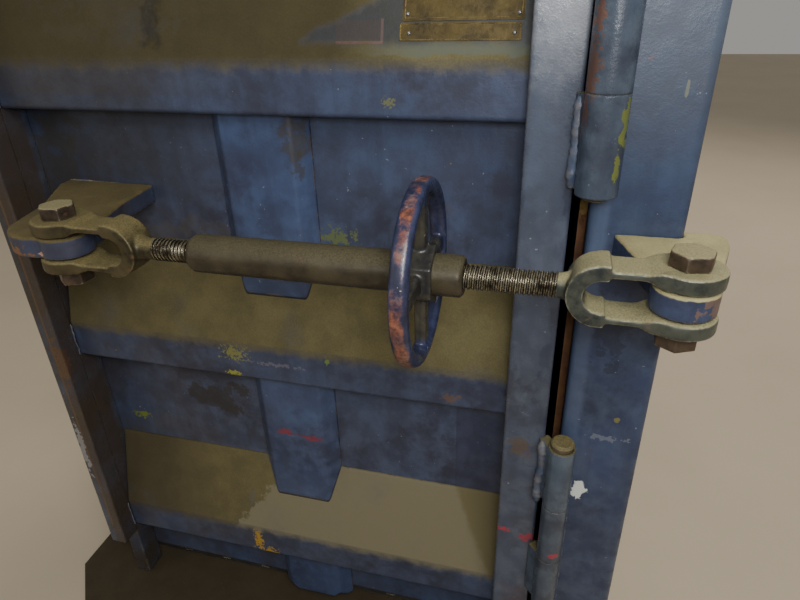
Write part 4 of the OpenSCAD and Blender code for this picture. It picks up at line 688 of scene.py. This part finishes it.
# Injection moulded: polyamide comes out duller, acetal smooth and waxy
black_plastic = moulded("black polyamide", "#17171a", "#3a362d", 0.45)
green_plastic = moulded("green acetal", "#1f6b3d", "#3a4c30", 0.35)
red_plastic = moulded("red acetal", "#a11f17", "#6b2b1c", 0.35)
print("plastics ready")

# %% [markdown]
# ## Dress the solids
#
# Each solid keeps its mesh and gets its material. The door's blue differs from the body's blue only
# in how it was used.

# %% Give each solid its material
DRESS = (
    (door_enamel, "door_panel door_top_rail door_rib_1 door_rib_2 door_rib_3"),
    (strap_enamel, "door_strap_1 door_strap_2 door_strap_3 door_strap_4"),
    (stile_enamel, "door_stile_left door_stile_right door_hinge_straps"),
    (latch_enamel, "latch_plate latch_claws"),
    (right_lug_enamel, "latch_lug"),
    (left_lug_enamel, "door_lug"),
    (knuckle_enamel, "knee_knuckles_door knee_knuckles_plate body_hinge_knuckles"),
    (body_enamel, "side_wall_left side_wall_right back_wall front_post_left front_post_right"),
    (body_enamel, "feed_sill front_header top_frame gate_guides gate_frame gate_mesh"),
    (body_enamel, "cylinder_barrel"),
    (base_enamel, "base_frame"),
    (floor_steel, "chamber_floor platen keeper_bars"),
    (left_forging, "left_clevis"),
    (right_forging, "right_clevis"),
    (bolt_steel, "left_bolt right_bolt"),
    (sleeve_steel, "turnbuckle_sleeve"),
    (pin_steel, "knee_pins door_hinge_pins"),
    (rust_bar, "jamb_bar"),
    (hand_wheel_paint, "hand_wheel"),
    (machined_steel, "valve_block cylinder_gland ram_pin"),
    (rod_chrome, "cylinder_rod"),
    (zinc_pipe, "pipe_cap_end pipe_gland_end"),
    (grey_enamel, "oil_tank pump_motor"),
    (powder_coat, "control_box control_box_door"),
    (black_plastic, "filler_cap down_button"),
    (green_plastic, "up_button"),
    (red_plastic, "emergency_stop disconnect_handle"),
)
undressed = set(SOLIDS)
for material, names in DRESS:
    for name in names.split():
        slots = SOLIDS[name].data.materials
        slots.clear()
        slots.append(material)
        undressed.discard(name)
print("dressed:", len(SOLIDS) - len(undressed), "of", len(SOLIDS), "missing:", sorted(undressed))

# %% [markdown]
# ## Helpers for pieces
#
# A piece starts as a bmesh, Blender's editable mesh in memory. It is written to a mesh with its
# place already in its points, rides on the body that carries it, and takes the finish it is given.
# Round parts are turned: a half profile spun about an axis, as on a lathe. The helpers take
# millimetres, as a drawing does.

# %% Write a bmesh as a piece
def stand(place, axis=UP):
    """A matrix that puts a shape's own Z along an axis, at a place in millimetres."""
    turn = Vector(axis).to_track_quat("Z", "Y").to_matrix().to_4x4()
    return Matrix.Translation(Vector(place) / 1000) @ turn


def piece_from(name, work, material, body, angle=35.0):
    """Writes a bmesh as a piece on a body, smooth but for edges sharper than the angle."""
    bmesh.ops.remove_doubles(work, verts=work.verts[:], dist=0.000002)
    bmesh.ops.recalc_face_normals(work, faces=work.faces[:])
    mesh = bpy.data.meshes.new(name)
    work.to_mesh(mesh)
    work.free()
    mesh.shade_smooth()
    mesh.set_sharp_from_angle(angle=math.radians(angle))
    mesh.materials.append(material)
    made = put_in(name, mesh)
    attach(made, body)
    print(name, "faces:", len(mesh.polygons))
    return made


# %% Turned parts, bars and hexagon heads
WASHER_TALL = 2.8


def edges_of(made):
    """The edges at the points that an operator made."""
    return list({e for v in made["verts"] for e in v.link_edges})


def turned(work, matrix, profile, steps=32):
    """Spins a half profile of (radius, height) in millimetres about the matrix's Z axis."""
    before = set(work.verts)
    points = [work.verts.new((r / 1000, 0.0, h / 1000)) for r, h in profile]
    lines = [work.edges.new(pair) for pair in zip(points, points[1:])]
    bmesh.ops.spin(work, geom=points + lines, cent=(0, 0, 0), axis=(0, 0, 1), dvec=(0, 0, 0),
                   angle=2 * math.pi, steps=steps, use_merge=True)
    new = [v for v in work.verts if v not in before]
    bmesh.ops.transform(work, matrix=matrix, verts=new)


def block(work, matrix, x, y, z):
    """A plain bar of x by y by z millimetres about the matrix's place."""
    size = Matrix.Diagonal((x / 1000, y / 1000, z / 1000, 1.0))
    return bmesh.ops.create_cube(work, size=1.0, matrix=matrix @ size)


def hex_head(work, matrix, across, tall, washer=0.0):
    """A hexagon head with a chamfered top, over a washer of that radius if one is given."""
    lift = 0.0
    if washer:
        lift = WASHER_TALL
        turned(work, matrix, [(0, 0), (washer, 0), (washer, 2.0), (washer - 0.8, lift), (0, lift)],
               28)
    corner = across / 1.732 / 1000
    foot = Matrix.Translation((0, 0, (lift + tall / 2) / 1000))
    made = bmesh.ops.create_cone(work, cap_ends=True, segments=6, radius1=corner, radius2=corner,
                                 depth=tall / 1000, matrix=matrix @ foot)
    top = matrix @ Vector((0, 0, (lift + tall) / 1000))
    faces = {f for v in made["verts"] for f in v.link_faces if len(f.verts) == 6}
    upper = min(faces, key=lambda f: (f.calc_center_median() - top).length)
    bmesh.ops.bevel(work, geom=upper.edges[:], offset=across * 0.00006, segments=2, profile=0.5,
                    affect="EDGES", material=-1)


print("piece helpers ready")

# %% [markdown]
# ## Forged and flame-cut pieces
#
# The clevises are drop forged and the lugs are flame cut, so neither has a crisp edge anywhere. The
# solids give their exact form. A copy is remeshed into small even cells of 1.4 to 2.2 mm and then
# smoothed, which rounds each edge as a forging die does, and the surface is moved a little by a
# smooth noise, as scale and hammer marks leave it. The bolts get the least of it: only their
# corners are worn.

# %% Copy a solid and round it like a forging
def cut_off(work, x, side):
    """Removes what lies beyond x millimetres, on the right (1) or left (-1), and closes the cut."""
    geometry = work.verts[:] + work.edges[:] + work.faces[:]
    cut = bmesh.ops.bisect_plane(work, geom=geometry, plane_co=(x / 1000, 0, 0),
                                 plane_no=(side, 0, 0), clear_outer=True)
    edges = [e for e in cut["geom_cut"] if isinstance(e, bmesh.types.BMEdge)]
    bmesh.ops.holes_fill(work, edges=edges, sides=0)


def even_cells(name, work, cell):
    """The same closed shape in even cells of that many millimetres, by a voxel remesh."""
    mesh = bpy.data.meshes.new(name)
    work.to_mesh(mesh)
    work.free()
    holder = put_in(name, mesh)
    remesh = holder.modifiers.new("even cells", "REMESH")
    remesh.mode = "VOXEL"
    remesh.voxel_size = cell / 1000
    bpy.context.view_layer.update()
    graph = bpy.context.evaluated_depsgraph_get()
    even = bmesh.new()
    even.from_mesh(holder.evaluated_get(graph).to_mesh())
    bpy.data.objects.remove(holder)
    bpy.data.meshes.remove(mesh)
    return even


def forged(node, ending, material, body, cell, rounds, wobble, seed, cut=None):
    """Stands a rounded copy in for a solid: even cells, smoothed, and moved by a smooth noise."""
    work = bmesh.new()
    work.from_mesh(SOLIDS[node].data)
    bmesh.ops.remove_doubles(work, verts=work.verts[:], dist=0.00001)
    if cut:
        cut_off(work, *cut)
    even = even_cells(node + "_rough", work, cell)
    for _ in range(rounds):
        bmesh.ops.smooth_vert(even, verts=even.verts[:], factor=0.5, use_axis_x=True,
                              use_axis_y=True, use_axis_z=True)
    even.normal_update()
    start = Vector((seed, 0, 0))
    for point in even.verts:
        coarse, fine = noise.noise(point.co * 55.0 + start), noise.noise(point.co * 170.0)
        point.co += point.normal * (coarse * 0.65 + fine * 0.35) * wobble / 1000
    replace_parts(piece_from(node + ending, even, material, body, angle=60.0), node)


print("forging helpers ready")

# %% Forge the clevis heads, flame cut the lugs and wear the bolts
BOLT_LEFT_X, BOLT_RIGHT_X = -243.5, 703.5
forged("left_clevis", "_head", left_forging, "left_link", 1.8, 9, 0.5, 3.0,
       cut=(BOLT_LEFT_X + 176, 1))
forged("right_clevis", "_head", right_forging, "right_link", 1.8, 9, 0.5, 8.0,
       cut=(BOLT_RIGHT_X - 160, -1))
forged("door_lug", "_flame_cut", left_lug_enamel, "door", 2.2, 4, 0.6, 5.0)
forged("latch_lug", "_flame_cut", right_lug_enamel, "latch", 2.2, 4, 0.6, 5.0)
forged("left_bolt", "_worn", bolt_steel, "left_link", 1.4, 4, 0.15, 2.0)
forged("right_bolt", "_worn", bolt_steel, "right_link", 1.4, 4, 0.15, 2.0)

# %% [markdown]
# ## Real screw threads
#
# In the solids the rods carry plain rings. Here each rod gets its true thread. A profile that is
# one pitch long is spun about the rod's axis, and each step also moves along it, so one turn ends
# exactly where the next begins. Turning one way and moving the other gives a left-hand thread: the
# two rods need opposite hands, or the sleeve could not draw them together.

# %% Cut the threads
CREST, ROOT, PITCH = 18.0, 15.4, 6.35
THREAD_STEPS = 32
SPARE_TURNS = 3


def thread(name, start, end, hand, body):
    """A rod's thread from start to end along X, in millimetres; hand is 1 for right-hand."""
    work = bmesh.new()
    profile = [(0.0, ROOT), (0.9, ROOT), (2.5, CREST - 0.4), (3.0, CREST), (4.0, CREST),
               (4.5, CREST - 0.4), (6.1, ROOT), (PITCH, ROOT)]
    turns = math.ceil((end - start) / PITCH) + SPARE_TURNS
    first = start - SPARE_TURNS / 2 * PITCH
    points = [work.verts.new(((first + along) / 1000, LINK_Y / 1000, (LINK_Z + out) / 1000))
              for along, out in profile]
    lines = [work.edges.new(pair) for pair in zip(points, points[1:])]
    bmesh.ops.spin(work, geom=points + lines, cent=(0, LINK_Y / 1000, LINK_Z / 1000),
                   axis=(-hand, 0, 0), dvec=(PITCH / THREAD_STEPS / 1000, 0, 0),
                   angle=2 * math.pi * turns, steps=THREAD_STEPS * turns, use_merge=False)
    bmesh.ops.remove_doubles(work, verts=work.verts[:], dist=0.00002)
    cut_off(work, start, -1)
    cut_off(work, end, 1)
    piece_from(name, work, thread_steel, body, angle=28.0)
    print("turns:", round((end - start) / PITCH, 1))


thread("left_rod_thread", BOLT_LEFT_X + 172, BOLT_LEFT_X + 343.5, -1, "left_link")
thread("right_rod_thread", BOLT_RIGHT_X - 407.5, BOLT_RIGHT_X - 157, 1, "right_link")

# %% [markdown]
# ## The cast hand wheel
#
# The wheel is cast iron: a rim that is rounded on every side, four spokes that swell into the rim,
# and a hub. The same remeshing rounds its corners as the sand mould does. The sleeve is plain pipe,
# so it is smoothed only once, and keeps the marks of wrenches as a slight wobble.

# %% Round the wheel and the sleeve
forged("hand_wheel", "_cast", hand_wheel_paint, "sleeve", 2.0, 4, 0.35, 11.0)
forged("turnbuckle_sleeve", "_worn", sleeve_steel, "sleeve", 2.0, 1, 0.25, 17.0)

# %% [markdown]
# ## Brass plates
#
# Two thin brass plates are riveted to the upper slope: a main plate and a strip under it. They are
# bare here. Each is a thin sheet with a raised rim that the press left round it, and its rivets are
# little turned domes. A plate lies on the slope, so it is modelled flat and then tipped by the
# slope's own angle.

# %% The slope and a plate on it
FOLD_Y, FOLD_Z = -369.0, 1542.0
SLOPE_IN, SLOPE_RISE = 58.0, 202.0
SLOPE = math.atan2(SLOPE_IN, SLOPE_RISE)
PLATE_THICK = 1.2
PLATE_LIFT = PLATE_THICK / 2


def on_slope(x, z):
    """A matrix on the upper slope: X stays, Y goes up the slope and Z points out of it."""
    y = FOLD_Y + (z - FOLD_Z) * math.tan(SLOPE)
    upward = Vector((0, math.sin(SLOPE), math.cos(SLOPE)))
    outward = Vector((0, -math.cos(SLOPE), math.sin(SLOPE)))
    turn = Matrix((Vector(TO_RIGHT), upward, outward)).transposed().to_4x4()
    return Matrix.Translation((Vector((x, y, z)) + outward * PLATE_LIFT) / 1000) @ turn


def plate(work, x0, x1, z0, tall, rim):
    """A thin plate with rounded corners and a raised rim, its foot at height z0."""
    wide = x1 - x0
    place = on_slope((x0 + x1) / 2, z0) @ Matrix.Translation((0, tall / 2000, 0))
    made = block(work, place, wide, tall, PLATE_THICK)
    outward = place.to_3x3() @ Vector(UP)
    corners = [e for e in edges_of(made)
               if abs((e.verts[0].co - e.verts[1].co).normalized().dot(outward)) > 0.9]
    bmesh.ops.bevel(work, geom=corners, offset=0.003, segments=4, profile=0.5, affect="EDGES",
                    material=-1)
    work.normal_update()
    top = [f for f in work.faces
           if f.normal.dot(outward) > 0.9 and f.calc_area() > 0.4 * wide * tall / 1e6
           and (f.calc_center_median() - place.translation).length < 0.01]
    for thickness, depth in ((rim, 0.0), (0.6, -0.6)):
        bmesh.ops.inset_region(work, faces=top, thickness=thickness / 1000, depth=depth / 1000)


print("slope:", round(math.degrees(SLOPE), 1), "degrees")

# %% Rivet the plates on
plates = bmesh.new()
plate(plates, 282, 464, 1594.5, 120, 4.0)
plate(plates, 278, 461, 1567.5, 25.5, 1.6)
piece_from("brass_plates", plates, brass, "door", angle=25.0)
rivets = bmesh.new()
DOME = [(0, 2.4), (1.6, 2.1), (2.8, 1.2), (3.2, 0.2), (3.2, -0.4)]
for x, z in ((293, 1578), (451, 1578), (290, 1604), (456, 1604), (290, 1702), (456, 1702)):
    turned(rivets, on_slope(x, z), DOME, 16)
piece_from("brass_plate_rivets", rivets, machined_steel, "door", angle=40.0)

# %% [markdown]
# ## Weld beads
#
# Everything on this door is welded, and a hand-laid bead is never smooth: it is a row of small
# overlapping puddles about as far apart as the bead is thick. Each bead here is a ring that is
# extruded step by step along its seam, a little fatter or thinner each time, with a fixed seed so
# that it comes out the same on every run.

# %% How a bead is laid
BEAD_END = 0.45  # how thick a bead starts and ends, as a share of its full radius


def bead(work, start, end, radius, seed, ripple, wander=0.5):
    """A bead from start to end (mm), with a ripple every so many mm, wandering a little."""
    dice = random.Random(seed)
    start, end = Vector(start), Vector(end)
    along = end - start
    steps = max(4, int(along.length / ripple * 2))
    turn = along.to_track_quat("Z", "Y").to_matrix()
    ring = bmesh.ops.create_circle(work, cap_ends=True, segments=10,
                                   radius=radius * BEAD_END / 1000,
                                   matrix=Matrix.Translation(start / 1000) @ turn.to_4x4())
    edges = edges_of(ring)
    size = BEAD_END
    for step in range(1, steps + 1):
        grown = bmesh.ops.extrude_edge_only(work, edges=edges)["geom"]
        points = [v for v in grown if isinstance(v, bmesh.types.BMVert)]
        edges = [e for e in grown if isinstance(e, bmesh.types.BMEdge) and e.is_boundary]
        puddle = (1.0 if step % 2 else 0.86) * dice.uniform(0.9, 1.12)
        wanted = puddle * min(1.0, BEAD_END + min(step, steps - step) / 3.0)
        drift = Vector()
        if step < steps:
            drift = Vector((dice.uniform(-wander, wander), dice.uniform(-wander, wander), 0))
        middle = Matrix.Translation(-(start + along * (step / steps)) / 1000)
        bmesh.ops.translate(work, verts=points, vec=along / steps / 1000)
        bmesh.ops.scale(work, verts=points, vec=(wanted / size,) * 3, space=middle)
        bmesh.ops.translate(work, verts=points, vec=turn @ drift / 1000)
        size = wanted
    bmesh.ops.contextual_create(work, geom=edges)


print("a bead starts and ends at", BEAD_END, "of its radius")

# %% Lay the beads on the door and the latch plate
door_beads = bmesh.new()
for low, high in ((1371, 1506), (742, 899)):  # between the stile and its hinge barrels
    bead(door_beads, (551.5, -430, low + 3), (551.5, -430, high - 3), 9.5, low, 12.0, 1.0)
bead(door_beads, (-455, -311, 1299), (-300, -311, 1299), 3.0, 4, 7.0)
for fold in (424, 983, 1542):  # under each rib's fold, at both its ends
    for seed, x in ((fold, -511), (fold + 1, 479)):
        bead(door_beads, (x, -372, fold - 88), (x, -372, fold - 6), 2.2, seed, 5.0)
piece_from("door_weld_beads", door_beads, weld_coat, "door", angle=50.0)
latch_beads = bmesh.new()
for low, high in ((1510, 1786), (485, 738)):
    bead(latch_beads, (611, -413, low), (611, -413, high), 4.5, low, 7.0)
bead(latch_beads, (610, -410, 1262), (690, -410, 1262), 4.0, 9, 7.0)
piece_from("latch_weld_beads", latch_beads, weld_coat, "latch", angle=50.0)

# %% [markdown]
# ## Fasteners and fittings of the power unit
#
# Up on the machine the cylinder is held by a ring of bolts, its pipes end in union nuts, and the
# tank has a lid, a drain plug and a glass to read the oil by. These are small, turned or hexagonal,
# and many of them are alike, so one bmesh gathers all that share a finish.

# %% Bolts and nuts on the cylinder, pipes and tank
TO_FRONT = (0.0, -1.0, 0.0)
PRESS_Y, FLANGE_Z, CAP_Z = 96.0, 2890.0, 4150.0
MOTOR_X, MOTOR_Y, MOTOR_FOOT_Z, MOTOR_TOP_Z = -521.6, 311.0, 3194.0, 3470.0
TANK_FRONT_Y, TANK_LID_Z = 146.0, 3170.0


def bolt_ring(work, middle, reach, count, *head):
    """That many heads evenly on a circle, the first one half a step round."""
    for number in range(count):
        turn = math.radians((number + 0.5) * 360 / count)
        spot = Vector(middle) + reach * Vector((math.cos(turn), math.sin(turn), 0))
        hex_head(work, stand(spot), *head)


nuts = bmesh.new()
bolt_ring(nuts, (0, PRESS_Y, FLANGE_Z), 111, 8, 24, 13, 15)
bolt_ring(nuts, (0, PRESS_Y, CAP_Z), 72, 8, 19, 9)
bolt_ring(nuts, (MOTOR_X, MOTOR_Y, MOTOR_FOOT_Z), 97, 4, 17, 9, 12)
for spot in ((0, -23, 4060), (0, -23, 3000), (-346, 166, 3210), (-286, 166, 3210)):
    hex_head(nuts, stand(spot, TO_FRONT), 41, 17)
for x, y in ((-646, 152), (-646, 470), (-446, 152), (-446, 470), (-246, 152)):
    hex_head(nuts, stand((x, y, TANK_LID_Z)), 13, 7, 9)
hex_head(nuts, stand((-290, TANK_FRONT_Y, 2885), TO_FRONT), 27, 12, 17)
for x in (-563.6, -479.6):  # the motor's terminal box
    for z in (3248, 3322):
        turned(nuts, stand((x, 180, z), TO_FRONT),
               [(0, 2.6), (3, 2.4), (4.2, 1.2), (4.4, -0.4)], 14)
piece_from("power_unit_fasteners", nuts, zinc_pipe, "frame", angle=30.0)

# %% Sight glass, fan grille and lifting eye
GAUGE_X = -610
gauge = bmesh.new()
for z in (2915, 3105):
    turned(gauge, stand((GAUGE_X, TANK_FRONT_Y, z), TO_FRONT),
           [(0, 16), (9, 16), (11, 13), (11, 0)], 24)
block(gauge, stand((GAUGE_X, 144.5, 3010)), 26, 3, 215)
for side in (-12, 12):
    block(gauge, stand((GAUGE_X + side, 138, 3010)), 3, 14, 170)
piece_from("oil_gauge_frame", gauge, machined_steel, "frame")
grille = bmesh.new()
motor_top = stand((MOTOR_X, MOTOR_Y, MOTOR_TOP_Z))
for reach in (22, 38, 54, 70, 86):
    low, high = reach - 1.6, reach + 1.6
    turned(grille, motor_top, [(low, 0), (low, 2.4), (reach, 3.4), (high, 2.4), (high, 0)], 40)
for degrees in (22.5, 67.5, 112.5, 157.5):
    turn = Matrix.Rotation(math.radians(degrees), 4, "Z")
    block(grille, stand((MOTOR_X, MOTOR_Y, MOTOR_TOP_Z + 1.2)) @ turn, 176, 3, 2.4)
turned(grille, motor_top, [(0, 4), (12, 4), (14, 2), (14, 0)], 24)
ROUND = [math.radians(30 * step) for step in range(13)]
eye_profile = [(17 + 5 * math.cos(turn), 5 * math.sin(turn)) for turn in ROUND]
turned(grille, stand((MOTOR_X, MOTOR_Y + 100, 3330), TO_RIGHT), eye_profile, 28)
piece_from("motor_grille_and_eye", grille, grey_enamel, "frame")

# %% [markdown]
# ## The oil glass
#
# The glass tube between the gauge's two ends shows amber oil. It is drawn borosilicate glass, clear
# and very smooth, made as a clear shader with a warm tint, because the tube is full of oil and the
# two look like one.

# %% Glass tube
def oil_glass(name):
    """Clear glass with amber oil behind it, browner and duller where a film clings inside."""
    material, tree, shader, place = finish(name)
    film = blotches(tree, place, 14.0, 0.4, 0.7)
    feed(shader, {
        "Base Color": coats(tree, place, "#a86a1c", (film, 1.0, "#6e4312")),
        "Roughness": add(tree, "MapRange", {"Value": film, "To Min": 0.08, "To Max": 0.25}),
        "Transmission Weight": 0.6,
        "IOR": 1.47})
    return material


tube = bmesh.new()
turned(tube, stand((GAUGE_X, 137, 2924)),
       [(0, 0), (6, 0), (6.2, 1), (6.2, 171), (6, 172), (0, 172)], 24)
piece_from("oil_gauge_glass", tube, oil_glass("oil behind gauge glass"), "frame")

# %% [markdown]
# ## The control box's small parts
#
# Each push button sits in a ring that guards it from a stray knock, wide enough for its cap to sink
# into. Two quarter-turn latches hold the door on its free side. They all ride with the box's door.

# %% Bezels and latches
BOX_FACE_X = -839.0
BUTTON_Z = 1370
LATCH_Y = -96
bezels = bmesh.new()
for y, bore, wide in ((-26, 18, 22), (34, 18, 22), (94, 25, 29.5)):
    ring = [(bore, 0), (bore, 3.2), (bore + 0.8, 4.2), (wide - 1.5, 3.6), (wide, 1.8), (wide, -0.3)]
    turned(bezels, stand((BOX_FACE_X, y, BUTTON_Z), TO_LEFT), ring, 36)
for z in (1340, 1580):
    turned(bezels, stand((BOX_FACE_X, LATCH_Y, z), TO_LEFT),
           [(0, 6), (7, 6), (9, 4.5), (9, 1.5), (11.5, 1.2), (11.5, -0.3)], 30)
    block(bezels, stand((BOX_FACE_X - 7.5, LATCH_Y, z)), 4, 5, 15)
piece_from("control_bezels_and_latches", bezels, machined_steel, "box_door")

# %% [markdown]
# ## Floor and light
#
# The machine stands on a plain pale floor. The light in the photograph is a cool, broad daylight
# from above and behind the viewer's right shoulder, which leaves the left and the lower parts
# darker. One large soft lamp gives that, a weak one opens the shadows, one behind keeps the back
# readable, and a pale sky lights the rest. A small lamp close to the viewer draws the bright lines
# up the round hinge barrel and the stile.

# %% Build the floor
def floor_coat(name, code):
    """Plain pale concrete paint, rolled on, with a barely visible mottle."""
    material, tree, shader, place = finish(name)
    cloud = blotches(tree, place, 900.0, 0.3, 0.7)
    pale = tint(code)
    darker = tuple(part * 0.94 for part in pale[:3]) + (1.0,)
    feed(shader, {"Base Color": coats(tree, place, pale, (cloud, 1.0, darker)), "Roughness": 0.8})
    return material


FLOOR_REACH = 15.0
sheet = bmesh.new()
bmesh.ops.create_grid(sheet, x_segments=4, y_segments=4, size=FLOOR_REACH)
floor_mesh = bpy.data.meshes.new("floor")
sheet.to_mesh(floor_mesh)
sheet.free()
floor_mesh.materials.append(floor_coat("pale floor paint", "#b9ad98"))
floor = put_in("floor", floor_mesh)
print("floor:", [round(v, 1) for v in floor.dimensions])

# %% Set the lamps and the sky
sky = bpy.data.worlds.new("sky")
bpy.context.scene.world = sky
sky.use_nodes = True
feed(sky.node_tree.nodes["Background"], {"Color": tint("#e9e6e0"), "Strength": 0.40})


def lamp(name, place, aim, size, power, colour="#fff4e6"):
    """A square soft lamp at a place, turned to look at its aim; all in metres and watts."""
    light = bpy.data.lights.new(name, "AREA")
    light.size = size
    light.energy = power
    light.color = tint(colour)[:3]
    look = (Vector(aim) - Vector(place)).to_track_quat("-Z", "Y").to_matrix().to_4x4()
    put_in(name, light).matrix_world = Matrix.Translation(place) @ look


lamp("key", (1.6, -2.6, 3.6), (0.2, -0.4, 1.0), 1.6, 80.0, "#faf5ec")
lamp("fill", (-2.8, -2.8, 2.6), (0.0, -0.4, 1.0), 2.5, 22.0)
lamp("back", (2.4, 4.2, 4.8), (0.0, 0.0, 1.6), 3.5, 190.0)
lamp("near the viewer", (0.60, -1.38, 1.78), (0.35, -0.4, 1.25), 0.22, 7.5, "#f6f6f8")
print("lamps:", len(bpy.data.lights))
